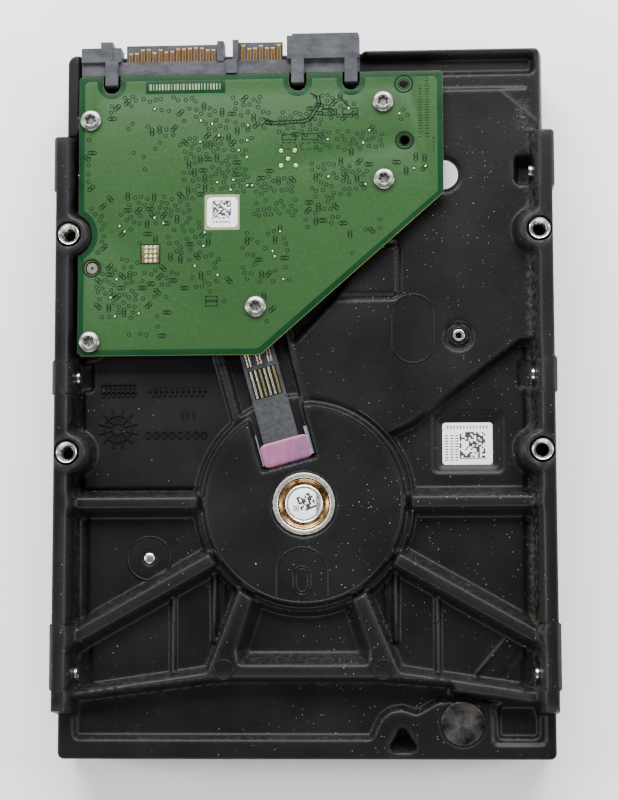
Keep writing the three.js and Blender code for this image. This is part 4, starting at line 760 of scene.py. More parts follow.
def flat_sheet(outlines, low, high, bevel=0.0):
    """A closed flat sheet between two heights in millimetres: the first outline, less the others in it."""
    curve = bpy.data.curves.new("sheet", "CURVE")
    curve.dimensions = "2D"
    curve.fill_mode = "BOTH"
    curve.extrude = ((high - low) / 2 - bevel) * 0.001
    curve.bevel_depth = bevel * 0.001
    curve.bevel_resolution = 2
    curve.offset = -bevel * 0.001
    for outline in outlines:
        spline = curve.splines.new("POLY")
        spline.points.add(len(outline) - 1)
        flat = np.c_[np.asarray(outline) * 0.001, np.zeros(len(outline)), np.ones(len(outline))]
        spline.points.foreach_set("co", flat.ravel())
        spline.use_cyclic_u = True
    holder = bpy.data.objects.new("sheet", curve)
    bpy.context.scene.collection.objects.link(holder)
    mesh = bpy.data.meshes.new_from_object(holder.evaluated_get(bpy.context.evaluated_depsgraph_get()))
    bpy.data.objects.remove(holder)
    mesh.transform(Matrix.Translation((0, 0, (low + high) * 0.0005)))
    shape = bmesh.new()
    shape.from_mesh(mesh)
    bmesh.ops.remove_doubles(shape, verts=shape.verts, dist=1e-6)
    bmesh.ops.dissolve_degenerate(shape, dist=1e-7, edges=shape.edges)
    bmesh.ops.recalc_face_normals(shape, faces=shape.faces)
    shape.to_mesh(mesh)
    shape.free()
    return mesh


def washers(centres, outer, inner, low, high, sides=12):
    """Small flat rings at many places, each of four edges round."""
    centres = np.asarray(centres, float)
    turn = np.linspace(0, 2 * np.pi, sides, endpoint=False)
    round_off = (outer - inner) * 0.22
    profile = [(outer, low), (outer - round_off, high), (inner + round_off, high), (inner, low)]
    loops = np.stack([np.stack([r * np.cos(turn), r * np.sin(turn), np.full(sides, h)], -1)
                      for r, h in profile])
    points = loops[None] + np.c_[centres, np.zeros(len(centres))][:, None, None, :]
    number = np.arange(4 * sides).reshape(4, sides)
    one = ring_quads(number, np.roll(number, -1, axis=0))
    faces = (one[None] + 4 * sides * np.arange(len(centres))[:, None, None]).reshape(-1, 4).tolist()
    return points.reshape(-1, 3), faces


board_green, tree, shader, place = new_finish("board_green", (0.010, 0.065, 0.022), 0.4)
shader.inputs["Specular IOR Level"].default_value = 0.16
weave = add_node(tree, "TexWave", {"Vector": place, "Scale": 420.0, "Distortion": 1.5},
                 bands_direction="DIAGONAL")
mottle = noise(tree, place, 160.0, 4.0)
mask_colour = blend(tree, mottle, (0.0012, 0.022, 0.0065), (0.003, 0.034, 0.010))
normal = add_node(tree, "NewGeometry").outputs["Normal"]
upright = add_node(tree, "SeparateXYZ", {"Vector": normal}).outputs["Z"]
cut_edge = sums(tree, "LESS_THAN", sums(tree, "ABSOLUTE", upright), 0.75)
fibre = blend(tree, noise(tree, place, 2500.0, 3.0), (0.20, 0.21, 0.055), (0.36, 0.34, 0.13))
paint(tree, shader, "Base Color", blend(tree, cut_edge, mask_colour, fibre))
paint(tree, shader, "Roughness", stretch(tree, mottle, 0.3, 0.7, 0.30, 0.42))
emboss(tree, shader, weave.outputs["Fac"], 0.000004)

copper_green, tree, shader, place = new_finish("board_copper_under_green", (0.035, 0.115, 0.035), 0.4)
shader.inputs["Specular IOR Level"].default_value = 0.16
plane = noise(tree, place, 40.0, 3.0)
fine = noise(tree, place, 1400.0, 3.0)
pour = blend(tree, plane, (0.0175, 0.050, 0.0145), (0.025, 0.064, 0.0215))
pour = blend(tree, stretch(tree, fine, 0.45, 0.8, 0.0, 0.35), pour, (0.028, 0.078, 0.024))
paint(tree, shader, "Base Color", pour)
paint(tree, shader, "Roughness", stretch(tree, fine, 0.3, 0.7, 0.30, 0.44))
emboss(tree, shader, fine, 0.000006)

SMALL_HOLES = [(20.6, 62.595, 0.95), (20.7, 50.895, 1.3), (-43.0, 25.395, 1.45)]
holes = [circle(x, y, 1.3) for x, y in BOARD_SCREWS] + [circle(*hole) for hole in SMALL_HOLES]
finish_piece("board_laminate", flat_sheet([board_outline()] + holes, Z_BOARD, Z_BOARD_TOP, 0.05), board_green,
             "housing", 40, "circuit_board")
openings = [circle(20.6, 62.595, 1.3, 32), circle(20.7, 50.895, 2.0, 32), circle(-43.0, 25.395, 1.6, 32)]
finish_piece("board_copper_plane", flat_sheet([board_outline(1.15)] + openings, Z_BOARD_TOP - 0.02,
                                              Z_BOARD_TOP + 0.035, 0.012),
             copper_green, "housing", 40)

# Plated holes in loose groups, some of them in pairs. Each group is a middle, a spread both ways and a count.
GROUPS = [(-17.7, 46.1, 6.6, 6.0, 120), (-5.7, 42.0, 4.0, 1.8, 38), (9.6, 51.1, 7.0, 2.0, 56),
          (7.4, 43.3, 5.6, 3.4, 36), (-0.9, 54.6, 4.4, 2.4, 26), (-14.0, 56.0, 6.6, 2.4, 26),
          (-29.7, 37.2, 6.6, 2.8, 46), (-5.9, 37.3, 4.4, 1.6, 18), (-41.8, 33.2, 1.6, 4.6, 16),
          (-38.0, 20.4, 4.0, 5.4, 42), (-28.9, 23.4, 3.8, 1.6, 22), (-23.0, 30.5, 4.6, 4.2, 26),
          (-7.5, 27.4, 4.8, 5.4, 30), (4.1, 36.5, 3.6, 3.2, 20), (12.4, 32.1, 3.2, 4.6, 6),
          (22.0, 45.7, 2.8, 1.2, 8), (-30.9, 16.0, 4.4, 4.8, 13), (-44.1, 46.1, 0.5, 6.4, 9),
          (-19.7, 24.3, 3.0, 3.0, 11), (-28.8, 52.7, 2.4, 1.6, 7), (-35.4, 60.0, 1.2, 1.0, 6),
          (-30.9, 59.9, 1.8, 0.6, 5), (-24.1, 60.2, 2.4, 0.6, 7), (-39.1, 57.1, 0.9, 1.8, 7),
          (-29.2, 58.0, 2.0, 0.6, 4), (-18.6, 57.2, 3.4, 0.8, 7), (-11.6, 59.6, 3.0, 1.0, 6),
          (6.6, 58.0, 4.6, 2.6, 26), (20.2, 56.3, 1.2, 1.2, 5), (-20, 52, 16, 8, 14), (-30, 30, 12, 10, 16),
          (-12, 20, 6, 6, 6)]
KEEP_OFF = [(x, y, 2.7) for x, y in BOARD_SCREWS] + [(x, y, r + 1.0) for x, y, r in SMALL_HOLES]
KEEP_OFF += [(-16.4, 36.5, 4.9), (-31.0, 28.1, 3.1), (-39.2, 63.3, 3.6), (-1.0, 63.3, 3.6), (9.9, 63.3, 3.6),
             (-RAIL_HOLE_X, 32.2, 6.3), (-3.0, 47.4, 2.6), (-24, 63, 2.4), (-30, 63, 2.4), (-18, 63, 2.4)]
spots, partners = np.zeros((0, 2)), []
pour_inner = np.array(board_outline(1.9))
keep_off = np.array(KEEP_OFF)
for middle_x, middle_y, spread_x, spread_y, count in GROUPS:
    wanted = len(spots) + round(count * 1.3)
    tries = rng.uniform(-1, 1, (count * 8, 2)) * (spread_x, spread_y) + (middle_x, middle_y)
    inside = outline_distance(tries[:, 0], tries[:, 1], pour_inner) < 0
    reach = np.hypot(tries[:, None, 0] - keep_off[:, 0], tries[:, None, 1] - keep_off[:, 1])
    for spot in tries[inside & (reach > keep_off[:, 2]).all(1)]:
        if len(spots) and np.hypot(*(spots - spot).T).min() < 1.0:
            continue
        spots = np.vstack([spots, spot])
        turn = np.radians(rng.choice([0, 45, 90, 135, 180, 270]))
        twin = spot + 0.98 * np.array([np.cos(turn), np.sin(turn)])
        if rng.random() < 0.36 and np.hypot(*(spots - twin).T).min() > 0.9:
            partners.append((tuple(spot), tuple(twin)))
            spots = np.vstack([spots, twin])
        if len(spots) >= wanted:
            break


def mottled_finish(name, colour, roughness, metallic, patches, dark, pale, grain, height, specular=0.5):
    """A finish that drifts between a dark and a pale colour over noise patches, with a grain in fine relief.
    Patches and grain are each a scale per metre and a detail."""
    material, tree, shader, place = new_finish(name, colour, roughness, metallic)
    shader.inputs["Specular IOR Level"].default_value = specular
    paint(tree, shader, "Base Color", blend(tree, noise(tree, place, *patches), dark, pale))
    emboss(tree, shader, noise(tree, place, *grain), height)
    return material


ring_green = mottled_finish("plated_hole_rim", (0.006, 0.028, 0.010), 0.5, 0.0, (700.0,),
                            (0.0012, 0.009, 0.0035), (0.004, 0.018, 0.006), (3000.0,), 0.000004, specular=0.1)
tinned = mottled_finish("tinned_pad", (0.62, 0.60, 0.52), 0.28, 0.9, (1500.0, 3.0), (0.30, 0.25, 0.15),
                        (0.62, 0.58, 0.47), (2500.0, 2.0), 0.00002)
gold_pad = mottled_finish("gold_pad", (0.45, 0.33, 0.11), 0.32, 0.8, (1800.0, 3.0), (0.12, 0.11, 0.04),
                          (0.27, 0.23, 0.10), (2500.0, 2.0), 0.00001)


def board_layer(name, shape, finish, smooth, slot="green_board"):
    """One etched, tinned or printed layer of the board: many small rings or blocks as points and faces."""
    make_piece(name, *shape, finish, "housing", smooth, slot=slot)


low, high = Z_BOARD_TOP + 0.02, Z_BOARD_TOP + 0.075
board_layer("board_hole_rims", washers(spots, 0.47, 0.25, low, high - 0.02, 14), ring_green, 60)
link_lines = []
for (ax, ay), (bx, by) in partners:
    off_x, off_y = -(by - ay) * 0.36, (bx - ax) * 0.36
    link_lines += [[(ax + s * off_x, ay + s * off_y), (bx + s * off_x, by + s * off_y)] for s in (-1, 1)]
board_layer("board_hole_links", flat_blocks(lines(link_lines, 0.2), low, high - 0.02), ring_green, 40)
bright = spots[rng.random(len(spots)) < 0.05]
board_layer("board_hole_solder", washers(bright, 0.24, 0.03, low, high - 0.015, 12), tinned, 60,
            "bright_screw_steel")
runs = [[(-7.9, 55.9), (-6.7, 55.1), (0.1, 55.4), (1.1, 55.8), (3.1, 58.7), (2.8, 60.2), (1.7, 60.9)],
        [(-7.4, 54.6), (-6.4, 54.5), (0.4, 54.8), (1.6, 55.3), (3.7, 58.6), (3.4, 60.4)],
        [(7.8, 59.8), (9.5, 57.9)], [(-8.5, 54.3), (-7.0, 55.6)]]
board_layer("board_runs", flat_blocks(lines(runs, 0.32), low, low + 0.03), ring_green, 40)

frames = []
for fx0, fx1, fy0, fy1 in ((-4.2, -1.4, 51.3, 52.4), (-0.1, 3.1, 51.3, 52.5), (4.0, 6.9, 56.3, 57.5),
                           (8.2, 11.2, 56.4, 57.6), (4.2, 5.4, 57.7, 58.4), (-19.7, -17.4, 17.3, 18.2),
                           (-19.7, -17.4, 18.5, 19.3)):
    frames += lines([[(fx0, fy0), (fx1, fy0), (fx1, fy1), (fx0, fy1), (fx0, fy0)]], 0.22)
dashes = []
for fx0, fx1, fy0, fy1 in ((-4.2, -1.4, 49.4, 50.7), (-0.3, 2.8, 49.3, 50.6)):
    for fy in (fy0, fy1):
        dashes += [(x, fy, 0.7, 0.22, 0) for x in np.linspace(fx0 + 0.3, fx1 - 0.3, 3)]
    dashes += [(x, (fy0 + fy1) / 2, 0.22, 0.7, 0) for x in (fx0 - 0.1, fx1 + 0.1)]
board_layer("board_part_frames", flat_blocks(frames + dashes, low, low + 0.02), ring_green, 40)
test_spots = [(-4.4, 49.0), (-1.6, 49.0), (-3.0, 47.3), (-4.4, 45.9), (-1.4, 45.9)]
board_layer("board_test_points", washers(test_spots, 0.46, 0.03, low, high, 20), tinned, 60,
            "bright_screw_steel")
board_layer("board_test_rims", washers(test_spots, 0.62, 0.47, low, high - 0.02, 20), ring_green, 60)
finish_piece("board_pad_ground", flat_sheet([[(-33.1, 26.0), (-29.0, 26.0), (-29.0, 30.2), (-33.1, 30.2)]],
                                            low, low + 0.03, 0.01), ring_green, "housing", 40)
finish_piece("board_pad_field", flat_sheet([[(-32.8, 26.3), (-29.3, 26.3), (-29.3, 29.9), (-32.8, 29.9)]],
                                           low + 0.02, low + 0.05, 0.01), gold_pad, "housing", 40)
pad_spots = [(x, y) for x in (-31.9, -31.0, -30.1) for y in (26.7, 27.6, 28.6, 29.5)]
board_layer("board_pad_dots", washers(pad_spots, 0.36, 0.03, low + 0.04, low + 0.12, 16), tinned, 60,
            "bright_screw_steel")
finish_piece("board_dark_window", flat_sheet([[(-32.2, 61.3), (-15.8, 61.3), (-15.8, 64.0), (-32.2, 64.0)]],
                                             low, low + 0.025, 0.01), board_green, "housing", 40)
ticks = [(x, 62.7, 1.25, w, 90) for x, w in zip(np.arange(-31.2, -16.6, 0.62),
                                                rng.choice([0.16, 0.26, 0.36], 24))]
print_pale = mottled_finish("board_print", (0.16, 0.20, 0.12), 0.55, 0.0, (2200.0, 3.0), (0.10, 0.16, 0.08),
                            (0.26, 0.28, 0.17), (3000.0,), 0.000005)
side_ticks = [(23.9, y, w, 0.16, 0) for y, w in zip(np.arange(51.6, 62.4, 0.55),
                                                    rng.choice([0.45, 0.7, 0.9], 20))]
side_ticks += [(25.3, y, w, 0.16, 0) for y, w in zip(np.arange(51.6, 63.8, 0.55),
                                                     rng.choice([0.45, 0.7, 0.9], 23))]
side_ticks += [(26.6, y, w, 0.16, 0) for y, w in zip(np.arange(48.3, 51.8, 0.5), rng.choice([0.4, 0.6], 7))]
board_layer("board_print_marks", flat_blocks(ticks, low, low + 0.04), print_pale, 40)
board_layer("board_side_marks", flat_blocks(side_ticks, low, low + 0.03), ring_green, 40)
board_layer("board_hole_borders", washers([hole[:2] for hole in SMALL_HOLES], 2.05, 1.5, Z_BOARD_TOP - 0.01,
                                          Z_BOARD_TOP + 0.06, 40), ring_green, 60)
board_layer("board_hole_lands", washers([(20.6, 62.595)], 1.3, 0.9, Z_BOARD_TOP - 0.01, Z_BOARD_TOP + 0.05,
                                        32), board_green, 60)
bright_post = mottled_finish("casting_post_end", (0.30, 0.33, 0.27), 0.35, 0.9, (600.0, 3.0),
                             (0.20, 0.23, 0.18), (0.36, 0.38, 0.33), (1500.0, 3.0), 0.00001)
make_piece("casting_post_end", *washers([(-43.0, 25.395)], 1.38, 0.02, 17.6, 18.35, 32), bright_post,
           "housing", 60, slot="machined_aluminium")
board_layer("board_hole_land_steel", washers([(20.7, 50.895)], 1.24, 0.9, Z_BOARD_TOP - 0.3,
                                             Z_BOARD_TOP + 0.02, 32), ring_green, 60)

# ---- Board screws --------------------------------------------------------------------------------
# Five small pan head screws of bright steel hold the board to the casting. Each has a six-lobed socket
# pressed into its head.
bright_steel, tree, shader, place = new_finish("bright_screw_steel", (0.66, 0.66, 0.66), 0.22, 1.0)
scratch = noise(tree, along_grain(tree, place, (2500.0, 600.0, 600.0)),
                1.0, 4.0)
paint(tree, shader, "Base Color", blend(tree, noise(tree, place, 800.0, 3.0), (0.15, 0.145, 0.14),
                                        (0.32, 0.31, 0.30)))
paint(tree, shader, "Roughness", stretch(tree, scratch, 0.3, 0.7, 0.28, 0.46))
emboss(tree, shader, scratch, 0.000006)


def ring_faces(rings, steps):
    """Faces of a closed form: each ring of points joins the next, and the first and last are capped."""
    number = np.arange(rings * steps).reshape(rings, steps)
    faces = np.stack([number[:-1], number[1:], np.roll(number[1:], -1, 1), np.roll(number[:-1], -1, 1)], -1)
    return faces.reshape(-1, 4).tolist() + [number[0].tolist(), number[-1, ::-1].tolist()]


def pan_screw(name, x, y, seat, head_radius, head_height, shank_radius, shank_end, finish, down=False,
              turn=0.0):
    """A pan head with a six-lobed socket pressed in its top, above a plain shank. The head's height falls
    with the radius like a shallow dome, and the socket's edge moves in and out six times a turn."""
    steps = 72
    angle = np.linspace(0, 2 * np.pi, steps, endpoint=False)
    share = np.r_[0.06, np.linspace(0.12, 0.42, 5), np.linspace(0.46, 0.66, 9), np.linspace(0.72, 0.94, 6),
                  0.985, 1.0]
    radius = np.repeat(share[:, None] * head_radius, steps, axis=1)
    lobe = head_radius * (0.43 + 0.085 * np.cos(6 * (angle + turn)))[None, :]
    dome = head_height * (1 - 0.34 * share ** 3.2)[:, None]
    rim = np.where(share > 0.97, 0.12, 0.0)[:, None] * head_height
    dish = 0.10 * head_height * np.exp(-((share - 0.62) / 0.08) ** 2)[:, None]
    pit = 0.8 * head_height * wall(radius - lobe, 0.10 * head_radius)
    height = dome - rim + dish - pit
    radius = np.concatenate([radius, np.full((1, steps), head_radius),
                             np.full((1, steps), head_radius * 0.97), np.full((1, steps), shank_radius),
                             np.full((1, steps), shank_radius)])
    length = abs(shank_end - seat)
    lower = np.array([0.12 * head_height, 0.0, -0.02, -length])
    height = np.concatenate([height, np.repeat(lower[:, None], steps, axis=1)])
    sign = -1 if down else 1
    points = np.stack([x + radius * np.cos(angle), y + radius * np.sin(angle), seat + sign * height],
                      -1).reshape(-1, 3)
    faces = ring_faces(*height.shape)
    piece = make_piece(name + "_head", points, faces, finish, "housing", 38, name, "bright_screw_steel")
    turn_outward(piece.data)


for number, (screw_x, screw_y) in enumerate(BOARD_SCREWS, 1):
    pan_screw(f"board_screw_{number}", screw_x, screw_y, Z_BOARD_TOP + 0.06, 2.08, 0.95, 1.05, 14.9,
              bright_steel, turn=0.3 * number)

# ---- Drive connector -----------------------------------------------------------------------------
# One moulding of dark grey plastic with glass fibre in it: two contact tongues, key walls, a shrouded block
# of pins and three legs that snap into the board's slots. Its contacts are stamped strips of brass.


def eased_copy(node_name, name, width, segments, finish, body):
    """A CAD part's own shape with its doubled points merged and every sharp edge rounded by a bevel."""
    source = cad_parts[node_name]
    mesh = source.data.copy()
    mesh.transform(source.matrix_world)
    shape = bmesh.new()
    shape.from_mesh(mesh)
    bmesh.ops.remove_doubles(shape, verts=shape.verts, dist=2e-6)
    bmesh.ops.dissolve_limit(shape, angle_limit=0.02, verts=shape.verts, edges=shape.edges)
    shape.to_mesh(mesh)
    shape.free()
    if "custom_normal" in mesh.attributes:
        mesh.attributes.remove(mesh.attributes["custom_normal"])
    piece = finish_piece(name, mesh, finish, body, 180, node_name)
    bevel = piece.modifiers.new("eased_edges", "BEVEL")
    bevel.width = width * 0.001
    bevel.segments = segments
    bevel.limit_method = "ANGLE"
    bevel.angle_limit = np.radians(30.0)
    bevel.harden_normals = True


grey_plastic, tree, shader, place = new_finish("connector_grey_plastic", (0.035, 0.037, 0.043), 0.5)
shader.inputs["Specular IOR Level"].default_value = 0.3
flow = noise(tree, along_grain(tree, place, (260.0, 520.0, 520.0)), 1.0, 5.0, 0.65)
plastic = blend(tree, stretch(tree, flow, 0.35, 0.68), (0.016, 0.0175, 0.021), (0.050, 0.052, 0.061))
fibres = noise(tree, place, 1700.0, 4.0, 0.7)
plastic = blend(tree, stretch(tree, fibres, 0.62, 0.85, 0.0, 0.5), plastic, (0.16, 0.16, 0.18))
paint(tree, shader, "Base Color", plastic)
paint(tree, shader, "Roughness", stretch(tree, fibres, 0.3, 0.7, 0.42, 0.62))
emboss(tree, shader, fibres, 0.00002)
eased_copy("drive_connector", "drive_connector_shell", 0.28, 3, grey_plastic, "housing")

brass, tree, shader, place = new_finish("contact_brass", (0.42, 0.27, 0.12), 0.34, 0.85)
lip_lightening = add_node(tree, "Attribute", attribute_name="crown").outputs["Fac"]
tarnish = blend(tree, noise(tree, place, 1500.0, 3.0), (0.045, 0.021, 0.007), (0.09, 0.045, 0.015))
# Lighter, glossier colour along each contact's raised lips and side edges, set by the crown attribute.
paint(tree, shader, "Base Color", blend(tree, lip_lightening, tarnish, (0.36, 0.23, 0.10)))
paint(tree, shader, "Roughness", stretch(tree, lip_lightening, 0.0, 1.0, 0.48, 0.26))
emboss(tree, shader, noise(tree, place, 2500.0), 0.000008)


def sheet_faces(rows, columns, start=0):
    """Faces of a closed sheet: a grid of points, the same grid below it, and walls down its border."""
    number = start + np.arange(rows * columns).reshape(rows, columns)
    below = number + rows * columns
    faces = grid_quads(number)
    faces += grid_quads(below, up=False)
    loop = border(number)
    after = np.roll(loop, -1)
    return faces + np.c_[loop, loop + rows * columns, after + rows * columns, after].tolist()


def contact_row(name, node_name, first_x, tips):
    """One row of stamped contacts. Across each one the height is a shallow trough between two bright lips,
    and along it the tip rolls down in a quarter curve."""
    across = np.array([-1.0, -0.94, -0.84, -0.66, -0.4, 0.0, 0.4, 0.66, 0.84, 0.94, 1.0])
    groups, crowns, faces, start = [], [], [], 0
    for index, tip in enumerate(tips):
        along = np.r_[64.45, np.linspace(65.6, tip - 0.5, 6), tip - 0.3, tip - 0.14, tip - 0.04, tip]
        u, v = np.meshgrid(across, along)
        lip = np.exp(-((np.abs(u) - 0.78) / 0.16) ** 2)
        lip = np.maximum(lip, np.exp(-((v - tip + 0.36) / 0.13) ** 2) * (np.abs(u) < 0.75))
        edge_drop = np.clip((np.abs(u) - 0.86) / 0.14, 0, 1) ** 2
        tip_drop = np.clip((v - tip + 0.2) / 0.2, 0, 1) ** 2
        half = 0.45 * np.sqrt(np.clip(1 - np.clip((v - tip + 0.35) / 0.42, 0, 1) ** 2, 0.05, 1))
        x = first_x + 0.35 + 1.22 * index + half * u
        top = 17.42 + 0.07 * lip - 0.10 * edge_drop - 0.10 * tip_drop
        rows, columns = top.shape
        upper = np.stack([x, v, top], -1).reshape(-1, 3)
        lower = np.stack([x, v, np.full_like(top, 17.16)], -1).reshape(-1, 3)
        faces += sheet_faces(rows, columns, start)
        groups += [upper, lower]
        crowns += [np.where(edge_drop > 0.3, 0.45, lip).ravel(), np.zeros(rows * columns)]
        start += 2 * rows * columns
    piece = make_piece(name, np.concatenate(groups), faces, brass, "housing", 50, node_name, "contact_brass")
    layer = piece.data.attributes.new("crown", "FLOAT", "POINT")
    layer.data.foreach_set("value", np.concatenate(crowns).astype(np.float32))


power_tips = [70.3, 70.4, 71.1, 71.2, 70.5, 71.1, 70.6, 70.7, 71.2, 71.2, 71.3, 71.4, 71.3, 70.9, 70.9]
contact_row("power_contact_row", "power_contacts", -35.8, power_tips)
contact_row("signal_contact_row", "signal_contacts", -12.6, [71.7, 71.0, 71.1, 71.6, 71.1, 71.1, 71.7])

# ---- Flexible strip and its patch ----------------------------------------------------------------
# The motor's four phases reach the board on a thin laminated strip, with its copper bare in two windows.
# A soft violet patch glues its end down inside the motor, with a clear film edge at the right.
strip_film, tree, shader, place = new_finish("strip_film", (0.05, 0.055, 0.065), 0.42)
streak = noise(tree, along_grain(tree, place, (900.0, 160.0, 300.0), STRIP_TURN), 1.0, 4.0, 0.6)
film = blend(tree, stretch(tree, streak, 0.3, 0.7), (0.007, 0.008, 0.010), (0.030, 0.033, 0.040))
paint(tree, shader, "Base Color", film)
paint(tree, shader, "Roughness", stretch(tree, streak, 0.3, 0.7, 0.34, 0.55))
emboss(tree, shader, noise(tree, place, 1500.0, 4.0), 0.00003)
strip_tape, tree, shader, place = new_finish("strip_tape", (0.03, 0.033, 0.04), 0.6)
cloth = noise(tree, place, 1300.0, 5.0, 0.7)
paint(tree, shader, "Base Color", blend(tree, stretch(tree, cloth, 0.35, 0.68), (0.004, 0.0045, 0.006),
                                        (0.024, 0.026, 0.033)))
paint(tree, shader, "Roughness", stretch(tree, cloth, 0.3, 0.7, 0.5, 0.75))
emboss(tree, shader, cloth, 0.00004)
violet, tree, shader, place = new_finish("violet_adhesive", (0.40, 0.19, 0.38), 0.42)
band = noise(tree, along_grain(tree, place, (330.0, 60.0, 60.0), STRIP_TURN), 1.0, 2.0)
paint(tree, shader, "Base Color", blend(tree, stretch(tree, band, 0.35, 0.65), (0.135, 0.055, 0.135),
                                        (0.235, 0.072, 0.145)))
paint(tree, shader, "Roughness", stretch(tree, noise(tree, place, 500.0, 3.0), 0.3, 0.7, 0.34, 0.5))
shader.inputs["Subsurface Weight"].default_value = 0.25
shader.inputs["Subsurface Radius"].default_value = (0.001, 0.0006, 0.0009)
emboss(tree, shader, noise(tree, place, 420.0, 3.0), 0.00006)
clear_film = mottled_finish("clear_film_edge", (0.42, 0.42, 0.44), 0.25, 0.0, (600.0, 4.0),
                            (0.05, 0.05, 0.055), (0.20, 0.20, 0.21), (900.0, 3.0), 0.00008)


def strip_points(along, across, height):
    """Points on the strip's own axes turned into the drive's, in millimetres."""
    x = STRIP_FOOT[0] + along * STRIP_ALONG[0] + across * STRIP_SIDE[0]
    y = STRIP_FOOT[1] + along * STRIP_ALONG[1] + across * STRIP_SIDE[1]
    return np.stack([x, y, height], -1)


def strip_slab(name, along, across, top, thick, finish, node=None, slot=None, smooth=50.0):
    """A closed sheet on the strip's axes: its top height is a function of along and across, and it keeps one
    thickness."""
    v, u = np.meshgrid(along, across, indexing="ij")
    height = top(v, u)
    upper = strip_points(v, u, height).reshape(-1, 3)
    lower = strip_points(v, u, height - thick).reshape(-1, 3)
    points, faces = np.concatenate([upper, lower]), sheet_faces(*height.shape)
    turn_outward(make_piece(name, points, faces, finish, "housing", smooth, node, slot).data)


def strip_height(along, across):
    """The strip lies in its channel and lifts a little where it leaves it, with a slight crown across."""
    return 15.84 + 0.25 * np.clip((along - 9) / 9, 0, 1) ** 2 - 0.012 * (across - 0.2) ** 2


strip_slab("motor_strip_film", np.linspace(0.4, 26.4, 90), np.linspace(-3.35, 3.75, 18), strip_height, 0.16,
           strip_film, "motor_strip", "flex_film")
strip_slab("motor_strip_tape", np.linspace(3.4, 13.9, 40), np.linspace(-3.42, 3.82, 20),
           lambda v, u: strip_height(v, u) + 0.05 + 0.012 * np.sin(u * 5.1 + v * 3.3), 0.06, strip_tape,
           slot="flex_film")
strip_slab("motor_strip_window", np.linspace(14.15, 20.15, 16), np.linspace(-2.65, 3.1, 24),
           lambda v, u: strip_height(v, u) + 0.02, 0.04, black_coat, slot="flex_film")

def copper_height(middle, lift, reach):
    """Height over one copper line: the strip's own, a lift, and a half round across the line's middle."""
    return lambda v, u: (strip_height(v, u) + lift
                         + 0.08 * np.sqrt(np.clip(1 - ((u - middle) / reach) ** 2, 0, 1)))


for number, across in enumerate((-2.1, -1.16, -0.22, 0.72, 1.66, 2.6), 1):
    strip_slab(f"motor_strip_copper_{number}", np.linspace(14.3, 20.0, 14),
               across + np.linspace(-0.2, 0.2, 7), copper_height(across, 0.05, 0.21), 0.05,
               tinned if number % 3 else gold_pad, slot="contact_brass", smooth=80)
for number, across in enumerate((-1.95, 0.25, 2.4), 1):
    for half, offset in enumerate((-0.3, 0.3), 1):
        strip_slab(f"motor_strip_pair_{number}_{half}", np.linspace(21.0, 26.0, 12),
                   across + offset + np.linspace(-0.17, 0.17, 7), copper_height(across + offset, 0.03, 0.18),
                   0.05, tinned, slot="contact_brass", smooth=80)


def patch_height(along, across):
    """The patch is flat with pillowed edges that fall in a quarter curve."""
    inset = -box_distance(across, along, -4.45, 5.65, 0.02, 5.0, 0.9)
    return 16.0 + 0.34 * np.sqrt(np.clip(1 - (1 - np.clip(inset / 0.7, 0, 1)) ** 2, 0, 1))


def patch_slab(name, along, across, finish, node=None, slot=None):
    """The patch with its four corners drawn in to a round."""
    v, u = np.meshgrid(along, across, indexing="ij")
    middle_v, middle_u, half_v, half_u = 2.51, 0.6, 2.49, 5.05
    a, b = (v - middle_v) / half_v, (u - middle_u) / half_u
    pull = 1 - 0.055 * (np.abs(a) ** 6) * (np.abs(b) ** 6) * 2.2
    v, u = middle_v + (v - middle_v) * pull, middle_u + (u - middle_u) * pull
    height = patch_height(v, u)
    upper = strip_points(v, u, height).reshape(-1, 3)
    lower = strip_points(v, u, np.full_like(height, 15.94)).reshape(-1, 3)
    points, faces = np.concatenate([upper, lower]), sheet_faces(*height.shape)
    turn_outward(make_piece(name, points, faces, finish, "housing", 60, node, slot).data)


edge_run = np.r_[0.02, 0.06, 0.14, 0.26, 0.42, 0.62]
patch_slab("strip_patch", np.r_[edge_run, np.linspace(0.9, 4.1, 20), 5.02 - edge_run[::-1]],
           np.r_[-4.47 + edge_run, np.linspace(-3.5, 4.7, 48), 5.67 - edge_run[::-1]], violet,
           "strip_adhesive", "violet_adhesive")
strip_slab("strip_patch_film_right", np.linspace(0.6, 6.4, 24), np.linspace(5.25, 6.0, 8),
           lambda v, u: 16.30 + 0.16 * np.exp(-((u - 5.62) / 0.22) ** 2) - 0.1 * np.abs(u - 5.62), 0.08,
           clear_film, slot="white_film", smooth=80)
strip_slab("strip_patch_film_left", np.linspace(0.8, 7.2, 24), np.linspace(-4.72, -4.45, 6),
           lambda v, u: 16.12 + 0.12 * np.exp(-((u + 4.6) / 0.1) ** 2), 0.08, clear_film,
           slot="white_film", smooth=80)

# ---- Motor centre --------------------------------------------------------------------------------
# The bearing's turned bronze sleeve is pressed in from this side, with a bright steel ring round it and a
# thrust plate in its end. A small round tag, cut straight on one side, is stuck over the plate.
bronze, tree, shader, place = new_finish("bearing_bronze", (0.42, 0.22, 0.08), 0.28, 0.95)
lathe = noise(tree, place, 420.0, 4.0, 0.6)
paint(tree, shader, "Base Color", blend(tree, stretch(tree, lathe, 0.36, 0.66), (0.045, 0.018, 0.006),
                                        (0.42, 0.25, 0.10)))
paint(tree, shader, "Roughness", stretch(tree, noise(tree, place, 1600.0, 3.0), 0.3, 0.7, 0.2, 0.42))
emboss(tree, shader, noise(tree, place, 1200.0, 4.0), 0.00003)
satin_steel, tree, shader, place = new_finish("satin_steel", (0.60, 0.59, 0.57), 0.38, 1.0)
paint(tree, shader, "Base Color", blend(tree, noise(tree, place, 900.0, 3.0), (0.50, 0.49, 0.47),
                                        (0.70, 0.69, 0.66)))
paint(tree, shader, "Roughness", stretch(tree, noise(tree, place, 2400.0, 2.0), 0.3, 0.7, 0.30, 0.46))
emboss(tree, shader, noise(tree, place, 3000.0, 2.0), 0.000006)
